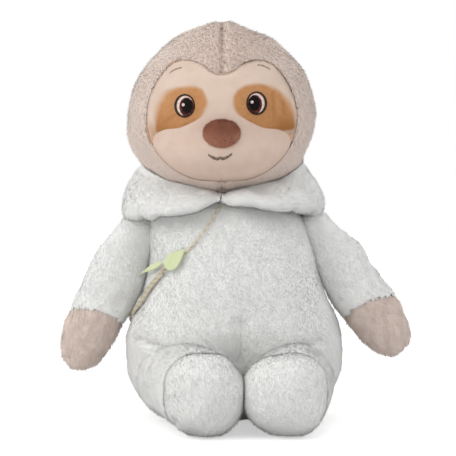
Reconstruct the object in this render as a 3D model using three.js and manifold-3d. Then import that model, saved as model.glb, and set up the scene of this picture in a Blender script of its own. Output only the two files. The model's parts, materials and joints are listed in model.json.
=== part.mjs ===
// Seated plush sloth in a hooded white suit, with a leaf sash across its chest.
// Millimetres, +Z up. The toy looks along -Y, its own left is +X, and the origin is
// under the middle of the seat, on the surface that the toy sits on.
import * as THREE from "three";
import { mergeVertices } from "three/addons/utils/BufferGeometryUtils.js";
import Module from "manifold-3d";

const wasm = await Module();
wasm.setup();

const degree = Math.PI / 180;
const fullTurn = 2 * Math.PI;
const half = 0.5;
const up = new THREE.Vector3(0, 0, 1);
const acrossAxis = new THREE.Vector3(1, 0, 0);
const sides = [
  { name: "left", sign: 1 },
  { name: "right", sign: -1 },
];
const capRings = 4; // rings on the round end of a limb, counted to its widest
const ribbonSides = 4;
const innerFacets = 12; // round a lining, a filling or a cutter, which don't show
const innerBands = 6;

// Clearances
const seamGap = 0.35; // between two pieces that are sewn or laid together
const jointGap = 0.9; // round a limb where it turns against the body
const overrun = 600; // how far a cutter runs past what it cuts

// Fabrics
const plushThickness = 6; // backing and pile of the suit and of the fur
const velboaThickness = 2; // short-pile fabric of the face
const threadHeight = 0.9; // embroidery over its fabric
const noseFabric = 1.5;
const feltThickness = 2;

// Body of the suit. Rows are shares of height, half width, front depth, back depth and sideways shift.
const torso = {
  height: 204,
  halfWidth: 97,
  front: 70,
  back: 70,
  seatX: 2,
  neckX: -9,
  squareness: 2.2,
  facets: 22,
  seamY: 8,
  neckRadius: 24,
};
const torsoShares = [
  [0, 0.68, 0.5, 0.72, 0],
  [0.035, 0.8, 0.6, 0.84, 0],
  [0.11, 0.92, 0.72, 0.94, 0],
  [0.22, 0.99, 0.84, 1, 0],
  [0.34, 0.985, 0.95, 1, 0],
  [0.42, 0.945, 1, 0.98, 0],
  [0.53, 0.87, 1, 0.94, 0.02],
  [0.69, 0.79, 0.94, 0.86, 0.15],
  [0.83, 0.745, 0.85, 0.76, 0.45],
  [0.92, 0.62, 0.72, 0.66, 0.8],
  [1, 0.37, 0.46, 0.46, 1],
];

// Head. Rows are shares of height, half width, front depth and back depth.
const head = {
  bottom: 198,
  height: 159,
  halfWidth: 84,
  front: 66,
  back: 67,
  y: -4,
  squareness: 2.1,
  facets: 22,
};
const headShares = [
  [0, 0.24, 0.3, 0.3],
  [0.057, 0.53, 0.62, 0.56],
  [0.126, 0.74, 0.84, 0.77],
  [0.208, 0.89, 0.95, 0.9],
  [0.289, 0.965, 0.99, 0.97],
  [0.377, 1, 1, 1],
  [0.459, 1, 1, 1],
  [0.572, 0.955, 0.96, 0.98],
  [0.66, 0.895, 0.9, 0.94],
  [0.73, 0.825, 0.82, 0.88],
  [0.8, 0.71, 0.7, 0.77],
  [0.881, 0.54, 0.53, 0.58],
  [0.937, 0.34, 0.34, 0.36],
  [0.975, 0.16, 0.16, 0.17],
];

// Face: a flat oval cushion set into the fur, and the muzzle that swells out of its lower half
const face = { z: 264, y: -22, halfWidth: 72, depth: 55, halfHeight: 61, facets: 20, bands: 12 };
const muzzle = { z: 239, y: -30, halfWidth: 66, depth: 52, halfHeight: 33 };
// Outline of the face opening: shares of its half width and half height, from the peak down one side
const faceOpening = { halfWidth: 67, halfHeight: 56, z: 266, curvePoints: 30 };
const faceOutlineShares = [
  [0, 0.7],
  [0.14, 0.75],
  [0.26, 0.87],
  [0.44, 0.94],
  [0.62, 0.9],
  [0.8, 0.7],
  [0.94, 0.38],
  [1, 0],
  [0.98, -0.35],
  [0.88, -0.62],
  [0.7, -0.82],
  [0.44, -0.95],
  [0.2, -1],
];
// Top edge of the muzzle: shares of the face opening's half width and half height, outside to middle
const muzzleCurvePoints = 18;
const muzzleSeamShares = [
  [1.3, -0.74],
  [1, -0.68],
  [0.92, -0.52],
  [0.9, -0.36],
  [0.86, -0.23],
  [0.74, -0.15],
  [0.54, -0.12],
  [0.36, -0.03],
  [0.18, 0.08],
];

// Eye patches, eyes, brows, mouth and nose, each measured from the middle of the face
const featureSlope = 0.036; // the line of the eyes rises towards the toy's left
const patch = { left: 36, right: 39.5, z: 274, halfWidth: 27, halfHeight: 21, curvePoints: 16 };
const patchShares = [
  [-1, 0.2],
  [-0.72, 0.78],
  [-0.2, 0.98],
  [0.3, 0.86],
  [0.75, 0.5],
  [1.02, -0.1],
  [1.04, -0.75],
  [0.86, -0.92],
  [0.4, -0.88],
  [-0.2, -0.76],
  [-0.62, -0.48],
  [-0.92, -0.2],
];
const eye = {
  left: 30.2,
  right: 32.5,
  z: 280,
  halfWidth: 9,
  halfHeight: 10.4,
  rim: 1.5,
  irisHalfWidth: 5.9,
  irisHalfHeight: 7.4,
  irisInward: 2.2,
  glintRadius: 1.2,
  glintX: -2.6,
  glintZ: 1.7,
  facets: 14,
  glintFacets: 6,
};
const brow = { left: 36.5, right: 40, z: 312, halfLength: 6, bowHeight: 1.9, width: 1.2, points: 5 };
const mouth = { z: 231.5, halfLength: 10.5, bowHeight: 5, width: 1.3, points: 7 };
const nose = { z: 254.5, y: -74, halfWidth: 16.5, depth: 13, halfHeight: 13, facets: 14, bands: 8 };

// Arms. Rows are shares of the length from the shoulder and of the greatest radius.
const arm = {
  length: 139,
  radius: 25,
  flatness: 0.9,
  shoulderX: 82,
  shoulderY: 0,
  shoulderZ: 169,
  facets: 14,
  cuffShare: 0.57,
};
const shoulderFacets = 16;
const armSplayAngles = { left: 33, right: 25.5 };
const armSwing = { backAngle: 25, forwardAngle: 60, spareAngle: 45, sideRings: 5 };
const armShares = [
  [0, 0.74],
  [0.2, 0.82],
  [0.35, 0.9],
  [0.48, 0.98],
  [0.58, 1],
  [0.7, 0.96],
  [0.81, 0.86],
  [0.9, 0.68],
  [0.96, 0.45],
];

// Legs and feet. Rows are shares of the length from the hip to the foot and of the hip's radius.
const hip = { y: -26, z: 38, left: 54, right: -47, radius: 38, facets: 16 };
const legShares = [
  [0, 1],
  [0.3, 0.98],
  [0.6, 0.93],
];
const legLiftAngle = 20;
const foot = {
  y: -98,
  z: 36.5,
  left: 47.5,
  right: -24.5,
  halfWidth: 35,
  depth: 33,
  halfHeight: 37,
  facets: 16,
  bands: 10,
  openingRadius: 15,
};

// Collar of the hood: a padded roll round the neck, in two halves that meet under the chin.
// Rows are the angle from the front, then shares of radius and rise at its top edge, of radius
// and rise at its low edge, and of its padding.
const collar = { radius: 80, lowest: 178, height: 62, padding: 13, facets: 12 };
const collarShares = [
  [3, 0.66, 0.38, 0.72, 0.32, 0.34],
  [14, 0.7, 0.4, 0.82, 0.24, 0.52],
  [32, 0.78, 0.42, 0.95, 0.14, 0.7],
  [52, 0.86, 0.47, 1.03, 0.1, 0.85],
  [72, 0.9, 0.6, 1.05, 0.09, 0.95],
  [92, 0.91, 0.72, 1.05, 0.08, 1],
  [115, 0.91, 0.84, 1.02, 0.1, 1],
  [145, 0.88, 0.93, 0.96, 0.14, 0.9],
  [163, 0.87, 0.96, 0.94, 0.15, 0.87],
  [180, 0.86, 0.97, 0.92, 0.16, 0.85],
];

// Crown of the hood: two layers that hang behind the collar from its top edge, with rows of
// shares of its drop and of its bulge to the back, and an outline in shares of half width and drop
const hood = {
  top: 238,
  drop: 112,
  halfWidth: 60,
  y: 76.2,
  curveRadius: 92,
  bulge: 12,
  lining: 5,
  shell: 7,
  facets: 32,
  curvePoints: 22,
};
const hoodBulgeShares = [
  [0, 0],
  [0.18, 0.75],
  [0.38, 1],
  [0.6, 0.6],
  [0.82, -0.3],
  [1, -1.17],
];
const hoodOutlineShares = [
  [0, 0],
  [0.5, 0.01],
  [0.8, 0.05],
  [0.98, 0.2],
  [1, 0.45],
  [0.86, 0.74],
  [0.5, 0.95],
  [0, 1],
];

// Bag of pellets low in the seat
const pelletBag = { y: 36, z: 19.5, halfWidth: 48, depth: 18, halfHeight: 15, facets: 16, bands: 8 };

// Sash: a thin cord from the neck to a leaf spray, then a ribbon under the right arm to the neck.
// The cord's rows are shares of the torso's half width and height, the ribbon's of its height and
// the angle from the front.
const cord = { diameter: 1.6, facets: 8, steps: 20, clearance: 0.5 };
const cordRouteShares = [
  [0, 0.955],
  [-0.05, 0.91],
  [-0.16, 0.83],
  [-0.28, 0.76],
  [-0.43, 0.7],
];
const ribbon = { width: 5, thickness: 1.6, steps: 22, clearance: 0.5, passage: 3.4 };
const ribbonRouteShares = [
  [0.655, 53],
  [0.6, 62],
  [0.54, 71],
  [0.475, 81],
  [0.43, 94],
  [0.41, 110],
  [0.45, 130],
  [0.55, 146],
  [0.68, 160],
  [0.85, 172],
];
const knot = { x: -56, z: 138, halfLength: 4.5, radius: 2.6, facets: 10, bands: 6 };
const leaf = { curvePoints: 14, tuck: 0.7 };
const leafSizes = {
  large: { tipX: -38, tipZ: 154, halfWidth: 7.5, lift: 3.3 },
  small: { tipX: -75, tipZ: 129, halfWidth: 4, lift: 4.8 },
};
const leafShares = [
  [0, 0.12],
  [0.15, 0.55],
  [0.4, 1],
  [0.65, 0.9],
  [0.87, 0.5],
  [1, 0],
];

const materials = {
  suit: new THREE.MeshStandardMaterial({ color: 0xeeeeec, roughness: 0.95, metalness: 0 }),
  fur: new THREE.MeshStandardMaterial({ color: 0xc9b7ad, roughness: 0.95, metalness: 0 }),
  velboa: new THREE.MeshStandardMaterial({ color: 0xe9cdb9, roughness: 0.85, metalness: 0 }),
  patch: new THREE.MeshStandardMaterial({ color: 0xd19a63, roughness: 0.85, metalness: 0 }),
  nose: new THREE.MeshStandardMaterial({ color: 0x84503e, roughness: 0.8, metalness: 0 }),
  blackThread: new THREE.MeshStandardMaterial({ color: 0x241b19, roughness: 0.5, metalness: 0 }),
  whiteThread: new THREE.MeshStandardMaterial({ color: 0xf2ebe8, roughness: 0.5, metalness: 0 }),
  brownThread: new THREE.MeshStandardMaterial({ color: 0x3a1a17, roughness: 0.45, metalness: 0 }),
  filling: new THREE.MeshStandardMaterial({ color: 0xf6f6f4, roughness: 1, metalness: 0 }),
  pellets: new THREE.MeshStandardMaterial({ color: 0xdedad2, roughness: 0.7, metalness: 0 }),
  felt: new THREE.MeshStandardMaterial({ color: 0xd2e0a6, roughness: 0.95, metalness: 0 }),
  cord: new THREE.MeshStandardMaterial({ color: 0xd8c3a0, roughness: 0.8, metalness: 0 }),
  ribbon: new THREE.MeshStandardMaterial({ color: 0xa89274, roughness: 0.7, metalness: 0 }),
};

// Solids

// A closed geometry's surface with its shared vertices merged
function merged(geometry) {
  const plain = new THREE.BufferGeometry();
  plain.setAttribute("position", geometry.getAttribute("position").clone());
  if (geometry.index) plain.setIndex(geometry.index.clone());
  return mergeVertices(plain);
}

function toSolid(geometry) {
  const closed = merged(geometry);
  const triVerts = new Uint32Array(closed.index.array);
  const vertProperties = new Float32Array(closed.attributes.position.array);
  const solid = new wasm.Manifold(new wasm.Mesh({ numProp: 3, vertProperties, triVerts }));
  if (solid.volume() > 0) return solid;
  for (let i = 0; i < triVerts.length; i += 3) {
    [triVerts[i + 1], triVerts[i + 2]] = [triVerts[i + 2], triVerts[i + 1]];
  }
  return new wasm.Manifold(new wasm.Mesh({ numProp: 3, vertProperties, triVerts }));
}

function toGeometry(solid) {
  const mesh = solid.getMesh();
  const geometry = new THREE.BufferGeometry();
  geometry.setAttribute("position", new THREE.BufferAttribute(mesh.vertProperties, 3));
  geometry.setIndex(new THREE.BufferAttribute(mesh.triVerts, 1));
  geometry.computeVertexNormals();
  return geometry;
}

function union(solids) {
  return solids.reduce((sum, solid) => sum.add(solid));
}

// The largest of the separate bodies that a cut leaves
function largest(solid) {
  return solid.decompose().reduce((best, body) => (body.volume() > best.volume() ? body : best));
}

// The same surface moved out along its normals, or in where the distance is negative
function grow(geometry, distance) {
  const moved = merged(geometry);
  moved.computeVertexNormals();
  const { position, normal } = moved.attributes;
  for (let i = 0; i < position.count; i++) {
    const place = new THREE.Vector3().fromBufferAttribute(position, i);
    place.addScaledVector(new THREE.Vector3().fromBufferAttribute(normal, i), distance);
    position.setXYZ(i, place.x, place.y, place.z);
  }
  return moved;
}

function grownSolid(geometry, distance) {
  return toSolid(grow(geometry, distance));
}

// Block that holds everything past a place on one axis, on the side of the direction
function past(axis, place, direction) {
  const box = new THREE.BoxGeometry(2 * overrun, 2 * overrun, 2 * overrun);
  const middle = new THREE.Vector3();
  middle[axis] = place + direction * overrun;
  return toSolid(box.translate(middle.x, middle.y, middle.z));
}

// Surfaces

// Skin through rings of points, closed at both ends on a tip or on the middle of the end ring
function loft(rings, startTip, endTip) {
  const count = rings[0].length;
  const middle = (ring) =>
    ring.reduce((sum, point) => sum.add(point), new THREE.Vector3()).divideScalar(count);
  const tips = [startTip ?? middle(rings[0]), endTip ?? middle(rings.at(-1))];
  const start = rings.length * count;
  const last = start - count;
  const index = [];
  for (let i = 0; i < count; i++) {
    const next = (i + 1) % count;
    for (let row = 0; row < last; row += count) {
      index.push(row + i, row + next, row + next + count);
      index.push(row + i, row + next + count, row + i + count);
    }
    index.push(start, next, i, start + 1, last + i, last + next);
  }
  const geometry = new THREE.BufferGeometry().setFromPoints([...rings.flat(), ...tips]);
  return geometry.setIndex(index);
}

// Level ring with its own depth in front and behind
function levelRing(centre, halfWidth, front, back, squareness, facets) {
  const round = (value) => Math.sign(value) * Math.abs(value) ** (2 / squareness);
  return Array.from({ length: facets }, (_, i) => {
    const angle = (fullTurn * i) / facets;
    const [across, ahead] = [round(Math.cos(angle)), round(Math.sin(angle))];
    const depth = ahead < 0 ? front : back;
    return new THREE.Vector3(centre.x + across * halfWidth, centre.y + ahead * depth, centre.z);
  });
}

function ellipsoid(centre, halfWidth, depth, halfHeight, facets, bands) {
  const geometry = new THREE.SphereGeometry(1, facets, bands);
  geometry.rotateX(Math.PI / 2);
  geometry.scale(halfWidth, depth, halfHeight);
  return geometry.translate(centre.x, centre.y, centre.z);
}

// Limb from a round root to a tapering end, its rows shares of the length and of the radius
function limb(start, end, rows, radius, flatness, facets) {
  const along = new THREE.Vector3().subVectors(end, start);
  const length = along.length();
  const ring = (distance, size) =>
    Array.from({ length: facets }, (_, i) => {
      const angle = (fullTurn * i) / facets;
      return new THREE.Vector3(size * Math.cos(angle), size * flatness * Math.sin(angle), distance);
    });
  const rootRadius = rows[0][1] * radius;
  const rings = [];
  for (let share = 1; share < capRings; share++) {
    const angle = (share / capRings) * (Math.PI / 2);
    rings.push(ring(-rootRadius * Math.cos(angle), rootRadius * Math.sin(angle)));
  }
  for (const [share, size] of rows) rings.push(ring(share * length, size * radius));
  const tips = [new THREE.Vector3(0, 0, -rootRadius), new THREE.Vector3(0, 0, length)];
  const geometry = loft(rings, ...tips);
  geometry.applyQuaternion(new THREE.Quaternion().setFromUnitVectors(up, along.normalize()));
  return geometry.translate(start.x, start.y, start.z);
}

// Ring-shaped solid about an axis through a point, from a closed profile of radius and distance along it
function revolved(profile, facets, centre, axis) {
  const geometry = new THREE.LatheGeometry(profile, facets);
  geometry.applyQuaternion(
    new THREE.Quaternion().setFromUnitVectors(new THREE.Vector3(0, 1, 0), axis),
  );
  return geometry.translate(centre.x, centre.y, centre.z);
}

// How much a drawn circle of so many facets has to grow to clear a true one
function facetMargin(radius, facets) {
  return radius / Math.cos(Math.PI / facets) - radius;
}

function closedCurve(points, count) {
  const knots = points.map(([x, z]) => new THREE.Vector3(x, z, 0));
  const curve = new THREE.CatmullRomCurve3(knots, true, "centripetal");
  const drawn = curve.getPoints(count).slice(0, count);
  return drawn.map((point) => new THREE.Vector2(point.x, point.y));
}

function ellipseOutline(x, z, halfWidth, halfHeight, facets) {
  const curve = new THREE.EllipseCurve(x, z, halfWidth, halfHeight, 0, fullTurn, false, 0);
  return curve.getPoints(facets).slice(0, facets);
}

// Prism along Y with an outline drawn in X and Z, from a depth to the front or to the back
function prism(outline, fromY, direction) {
  const shape = new THREE.Shape(outline);
  const geometry = new THREE.ExtrudeGeometry(shape, { depth: overrun, bevelEnabled: false });
  geometry.rotateX(Math.PI / 2);
  return toSolid(geometry.translate(0, direction < 0 ? fromY : fromY + overrun, 0));
}

// Torso

function torsoForm(facets) {
  const rings = torsoShares.map((row) => {
    const section = torsoSection(row[0] * torso.height);
    const centre = new THREE.Vector3(section.x, 0, row[0] * torso.height);
    const { halfWidth, front, back } = section;
    return levelRing(centre, halfWidth, front, back, torso.squareness, facets);
  });
  return loft(rings);
}

// Width, depths and middle of the torso at a height
function torsoSection(z) {
  const share = THREE.MathUtils.clamp(z / torso.height, 0, 1);
  const above = Math.max(
    1,
    torsoShares.findIndex((row) => row[0] >= share),
  );
  const [low, high] = [torsoShares[above - 1], torsoShares[above]];
  const at = (column) =>
    THREE.MathUtils.mapLinear(share, low[0], high[0], low[column], high[column]);
  return {
    halfWidth: at(1) * torso.halfWidth,
    front: at(2) * torso.front,
    back: at(3) * torso.back,
    x: THREE.MathUtils.lerp(torso.seatX, torso.neckX, at(4)),
  };
}

// Point over the torso at a height and an angle from the front towards the right side
function torsoPoint(z, angle, lift) {
  const section = torsoSection(z);
  const depth = Math.cos(angle) > 0 ? section.front : section.back;
  const shares = [Math.sin(angle) / section.halfWidth, Math.cos(angle) / depth];
  const sum = shares.reduce((total, share) => total + Math.abs(share) ** torso.squareness, 0);
  const reach = sum ** (-1 / torso.squareness) + lift;
  return new THREE.Vector3(section.x - Math.sin(angle) * reach, -Math.cos(angle) * reach, z);
}

// How far the torso reaches sideways at a height and a depth
function torsoReach(z, y) {
  const section = torsoSection(z);
  const share = Math.abs(y) / (y < 0 ? section.front : section.back);
  if (share >= 1 || z > torso.height) return 0;
  return section.halfWidth * (1 - share ** torso.squareness) ** (1 / torso.squareness);
}

// Depth of the torso's front at a place seen from the front
function torsoFront(x, z) {
  const section = torsoSection(z);
  const share = Math.min(1, Math.abs(x - section.x) / section.halfWidth);
  return -section.front * (1 - share ** torso.squareness) ** (1 / torso.squareness);
}

// Direction out of the torso at a point on it
function outOfTorso(point) {
  const section = torsoSection(point.z);
  const depth = point.y < 0 ? section.front : section.back;
  const across = (point.x - section.x) / section.halfWidth ** 2;
  return new THREE.Vector3(across, point.y / depth ** 2, 0).normalize();
}

function pelletBagForm() {
  const { y, z, halfWidth, depth, halfHeight, facets, bands } = pelletBag;
  return ellipsoid(new THREE.Vector3(torso.seatX, y, z), halfWidth, depth, halfHeight, facets, bands);
}

function buildTorso() {
  const [outer, inner] = [torso.facets, innerFacets].map(torsoForm);
  const ballGap = seamGap + facetMargin(armShares[0][1] * arm.radius, shoulderFacets);
  const sockets = (gap) =>
    union(
      sides.flatMap(({ name, sign }) => [
        shoulderBall(sign, ballGap + gap),
        legSweep(name, jointGap + gap),
      ]),
    );
  const inside = (inset) => grownSolid(inner, -inset).intersect(past("z", inset, 1));
  const neckProfile = [
    new THREE.Vector2(0, 0),
    new THREE.Vector2(torso.neckRadius, 0),
    new THREE.Vector2(torso.neckRadius, overrun),
    new THREE.Vector2(0, overrun),
  ];
  const neckStart = new THREE.Vector3(torso.neckX, 0, torso.height - 2 * plushThickness);
  const neckHole = toSolid(revolved(neckProfile, innerFacets, neckStart, up));
  const shell = toSolid(outer)
    .subtract(inside(plushThickness).add(neckHole))
    .subtract(sockets(0));
  const bag = pelletBagForm();
  const filling = inside(plushThickness + seamGap)
    .subtract(sockets(seamGap))
    .subtract(grownSolid(bag, seamGap));
  return [
    ["torso_front", shell.subtract(past("y", torso.seamY - seamGap, 1)), materials.suit],
    ["torso_back", shell.intersect(past("y", torso.seamY, 1)), materials.suit],
    ["torso_filling", filling, materials.filling],
    ["pellet_bag", toSolid(bag).intersect(inside(plushThickness + seamGap)), materials.pellets],
  ];
}

// Head and face

function headForm(facets) {
  const rings = headShares.map(([height, width, front, back]) =>
    levelRing(
      new THREE.Vector3(torso.neckX, head.y, head.bottom + height * head.height),
      width * head.halfWidth,
      front * head.front,
      back * head.back,
      head.squareness,
      facets,
    ),
  );
  const top = new THREE.Vector3(torso.neckX, head.y, head.bottom + head.height);
  return loft(rings, undefined, top);
}

// The face cushion and the muzzle on it, with their surface moved out by a distance
function faceSolid(distance) {
  const place = ({ y, z }) => new THREE.Vector3(torso.neckX, y, z);
  const oval = ({ halfWidth, depth, halfHeight }) => [halfWidth, depth, halfHeight];
  const forms = [face, muzzle].map((form) =>
    ellipsoid(place(form), ...oval(form), face.facets, face.bands),
  );
  return union(forms.map((form) => grownSolid(form, distance)));
}

// Everything in front of the face's back edge inside an outline
function faceCut(outline) {
  return prism(outline, face.y - plushThickness, -1);
}

// Half an outline and its mirror image, as one list of places round the middle of the face
function mirrored(rows, toPlace) {
  const side = (sign) =>
    rows.map((row) => {
      const [x, z] = toPlace(row);
      return [torso.neckX + sign * x, z];
    });
  return { left: side(1), right: side(-1) };
}

// Outline of the face opening, moved in by a margin
function faceOutline(margin) {
  const { left, right } = mirrored(faceOutlineShares, ([x, z]) => [
    x * (faceOpening.halfWidth - margin),
    faceOpening.z + z * (faceOpening.halfHeight - margin),
  ]);
  return closedCurve([...left, ...right.slice(1).reverse()], faceOpening.curvePoints);
}

// Outline of all that lies a margin below the seam between the upper face and the muzzle
function muzzleOutline(margin) {
  const { left, right } = mirrored(muzzleSeamShares, ([x, z]) => [
    x * faceOpening.halfWidth,
    faceOpening.z + z * faceOpening.halfHeight - margin,
  ]);
  const seam = [...left, ...right.reverse()].map(([x, z]) => new THREE.Vector3(x, z, 0));
  const curve = new THREE.CatmullRomCurve3(seam, false, "centripetal").getPoints(muzzleCurvePoints);
  const outline = curve.map((point) => new THREE.Vector2(point.x, point.y));
  outline.push(new THREE.Vector2(outline.at(-1).x, -overrun), new THREE.Vector2(outline[0].x, -overrun));
  return outline;
}

// A height at a distance to one side of the face, on the slope of the eyes' line
function onSlope(across, z) {
  return z + featureSlope * across;
}

function patchOutline(name, sign, margin) {
  const points = patchShares.map(([x, z]) => {
    const across = sign * (patch[name] + x * (patch.halfWidth - margin));
    const height = patch.z + z * (patch.halfHeight - margin);
    return [torso.neckX + across, onSlope(across, height)];
  });
  return closedCurve(points, patch.curvePoints);
}

// A line of stitches as an outline: a bow of a width that thins towards its ends
function stitchOutline(x, z, halfLength, bowHeight, width, points) {
  const edge = (offset) =>
    Array.from({ length: points }, (_, i) => {
      const share = (2 * i) / (points - 1) - 1;
      const bow = bowHeight * share ** 2;
      const across = x + share * halfLength;
      const thickness = offset * (1 - half * share ** 2);
      return new THREE.Vector2(torso.neckX + across, onSlope(across, z + bow + thickness));
    });
  return [...edge(-width * half), ...edge(width * half).reverse()];
}

function buildEye(name, sign, threads) {
  const across = sign * eye[name];
  const x = torso.neckX + across;
  const z = onSlope(across, eye.z);
  const oval = (inset) =>
    faceCut(ellipseOutline(x, z, eye.halfWidth - inset, eye.halfHeight - inset, eye.facets));
  const irisX = x - sign * eye.irisInward;
  const iris = (margin) =>
    faceCut(
      ellipseOutline(irisX, z, eye.irisHalfWidth + margin, eye.irisHalfHeight + margin, eye.facets),
    );
  const glint = (margin) => {
    const radius = eye.glintRadius + margin;
    const place = [irisX + eye.glintX, z + eye.glintZ];
    return faceCut(ellipseOutline(...place, radius, radius, eye.glintFacets));
  };
  const rim = threads.intersect(oval(0)).subtract(oval(eye.rim));
  const ball = threads.intersect(oval(eye.rim + seamGap));
  return [
    [`eye_outline_${name}`, rim, materials.blackThread],
    [`eye_white_${name}`, ball.subtract(iris(seamGap)), materials.whiteThread],
    [`eye_iris_${name}`, ball.intersect(iris(0)).subtract(glint(seamGap)), materials.brownThread],
    [`eye_glint_${name}`, threads.intersect(glint(0)), materials.whiteThread],
  ];
}

function buildNose() {
  const centre = new THREE.Vector3(torso.neckX, nose.y, nose.z);
  const { halfWidth, depth, halfHeight, facets, bands } = nose;
  const form = ellipsoid(centre, halfWidth, depth, halfHeight, facets, bands);
  const behind = faceSolid(seamGap);
  const cover = toSolid(form).subtract(grownSolid(form, -noseFabric));
  const padding = grownSolid(form, -noseFabric - seamGap);
  return [
    ["nose_cover", cover.subtract(behind), materials.nose],
    ["nose_filling", padding.subtract(behind), materials.filling],
  ];
}

function buildFace() {
  const fabric = faceSolid(0).subtract(faceSolid(-velboaThickness));
  const framed = fabric.intersect(faceCut(faceOutline(seamGap)));
  const threads = faceSolid(seamGap + threadHeight).subtract(faceSolid(seamGap));
  const pieces = [["muzzle", framed.intersect(faceCut(muzzleOutline(seamGap))), materials.velboa]];
  let upper = framed.subtract(faceCut(muzzleOutline(0)));
  for (const { name, sign } of sides) {
    const own = upper.intersect(faceCut(patchOutline(name, sign, seamGap)));
    pieces.push([`eye_patch_${name}`, own, materials.patch]);
    upper = upper.subtract(faceCut(patchOutline(name, sign, 0)));
    pieces.push(...buildEye(name, sign, threads));
    const bow = [sign * brow[name], brow.z, brow.halfLength, -brow.bowHeight, brow.width, brow.points];
    const browLine = threads.intersect(faceCut(stitchOutline(...bow)));
    pieces.push([`brow_${name}`, browLine, materials.blackThread]);
  }
  pieces.push(["face_upper", upper, materials.velboa]);
  const smile = [0, mouth.z, mouth.halfLength, mouth.bowHeight, mouth.width, mouth.points];
  pieces.push(["mouth", threads.intersect(faceCut(stitchOutline(...smile))), materials.blackThread]);
  return [...pieces, ...buildNose()];
}

function buildHead() {
  const [outer, inner] = [head.facets, innerFacets].map(headForm);
  const neck = past("z", torso.height + seamGap, -1);
  const fur = toSolid(outer)
    .subtract(grownSolid(inner, -plushThickness))
    .subtract(faceCut(faceOutline(0)))
    .subtract(neck);
  const furSides = sides.map(({ name, sign }) => {
    const own = past("x", torso.neckX + sign * seamGap * half, sign);
    return [`head_side_${name}`, fur.intersect(own), materials.fur];
  });
  const behindFace = faceSolid(-velboaThickness - seamGap).intersect(
    faceCut(faceOutline(2 * seamGap)),
  );
  const filling = grownSolid(inner, -plushThickness - seamGap)
    .subtract(neck)
    .subtract(faceCut(faceOutline(-seamGap)))
    .add(behindFace);
  return [...furSides, ["head_filling", filling, materials.filling], ...buildFace()];
}

// Space that the head and muzzle need as they turn about the neck
function headSweep(clearance) {
  const centre = new THREE.Vector3(torso.neckX, head.y, 0);
  const about = (profile) => toSolid(revolved(profile, head.facets, centre, up));
  const margin = clearance + facetMargin(head.halfWidth, head.facets);
  const profile = headShares.map(([height, width, front, back]) => {
    const reach = Math.max(width * head.halfWidth, front * head.front, back * head.back);
    return new THREE.Vector2(reach + margin, head.bottom + height * head.height);
  });
  const under = head.bottom - clearance;
  profile.unshift(new THREE.Vector2(0, under), new THREE.Vector2(profile[0].x, under));
  profile.push(new THREE.Vector2(0, profile.at(-1).y));
  const muzzleProfile = Array.from({ length: face.bands + 1 }, (_, i) => {
    const angle = (i / face.bands - half) * Math.PI;
    const reach = head.y - muzzle.y + (muzzle.depth + margin) * Math.cos(angle);
    return new THREE.Vector2(reach, muzzle.z + (muzzle.halfHeight + margin) * Math.sin(angle));
  });
  muzzleProfile.unshift(new THREE.Vector2(0, muzzleProfile[0].y));
  muzzleProfile.push(new THREE.Vector2(0, muzzleProfile.at(-1).y));
  return about(profile).add(about(muzzleProfile));
}

// Arms

function shoulder(sign) {
  const middle = torsoSection(arm.shoulderZ).x;
  return new THREE.Vector3(middle + sign * arm.shoulderX, arm.shoulderY, arm.shoulderZ);
}

function armDirection(name, sign) {
  const splay = armSplayAngles[name] * degree;
  return new THREE.Vector3(sign * Math.sin(splay), 0, -Math.cos(splay));
}

function armForm(name, sign, facets) {
  const start = shoulder(sign);
  const end = start.clone().addScaledVector(armDirection(name, sign), arm.length);
  return limb(start, end, armShares, arm.radius, arm.flatness, facets);
}

// Ball about the shoulder's axis that the arm's root turns in
function shoulderBall(sign, clearance) {
  const radius = armShares[0][1] * arm.radius + clearance;
  const profile = Array.from({ length: innerBands + 1 }, (_, i) => {
    const angle = (i / innerBands) * Math.PI;
    return new THREE.Vector2(radius * Math.sin(angle), -radius * Math.cos(angle));
  });
  return toSolid(revolved(profile, shoulderFacets, shoulder(sign), acrossAxis));
}

// Body of revolution about the shoulder's axis that holds the torso's side at every swing,
// apart from the ball that the arm turns on
function torsoSideSweep(sign, gap, inset) {
  const pivot = shoulder(sign);
  const rootRadius = armShares[0][1] * arm.radius;
  const most = (armSwing.forwardAngle + armSwing.spareAngle) * degree;
  const least = -(armSwing.backAngle + armSwing.spareAngle) * degree;
  const reachAt = (radius) => {
    let reach = 0;
    for (let i = 0; i <= arm.facets; i++) {
      const angle = THREE.MathUtils.lerp(least, most, i / arm.facets);
      const z = pivot.z - radius * Math.cos(angle);
      const side = sign * (torsoSection(z).x - torso.seatX);
      reach = Math.max(reach, side + torsoReach(z, pivot.y - radius * Math.sin(angle)));
    }
    return reach + gap + inset;
  };
  const profile = [new THREE.Vector2(0, 0), new THREE.Vector2(arm.length, 0)];
  for (let i = armSwing.sideRings; i >= 0; i--) {
    const radius = THREE.MathUtils.lerp(rootRadius, arm.length, i / armSwing.sideRings);
    profile.push(new THREE.Vector2(radius, reachAt(radius)));
  }
  profile.push(new THREE.Vector2(0, profile.at(-1).y));
  const centre = new THREE.Vector3(torso.seatX, pivot.y, pivot.z);
  const axis = new THREE.Vector3(sign, 0, 0);
  const side = toSolid(revolved(profile, innerFacets, centre, axis));
  return side.subtract(shoulderBall(sign, -inset));
}

// Space that the arm's root needs in the collar as it swings
function shoulderSweep(sign) {
  const radius = armShares[1][1] * arm.radius + facetMargin(arm.radius, arm.facets) + jointGap;
  const profile = [
    new THREE.Vector2(0, -arm.radius),
    new THREE.Vector2(radius, -arm.radius),
    new THREE.Vector2(radius, arm.radius),
    new THREE.Vector2(0, arm.radius),
  ];
  return toSolid(revolved(profile, arm.facets, shoulder(sign), acrossAxis));
}

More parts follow.
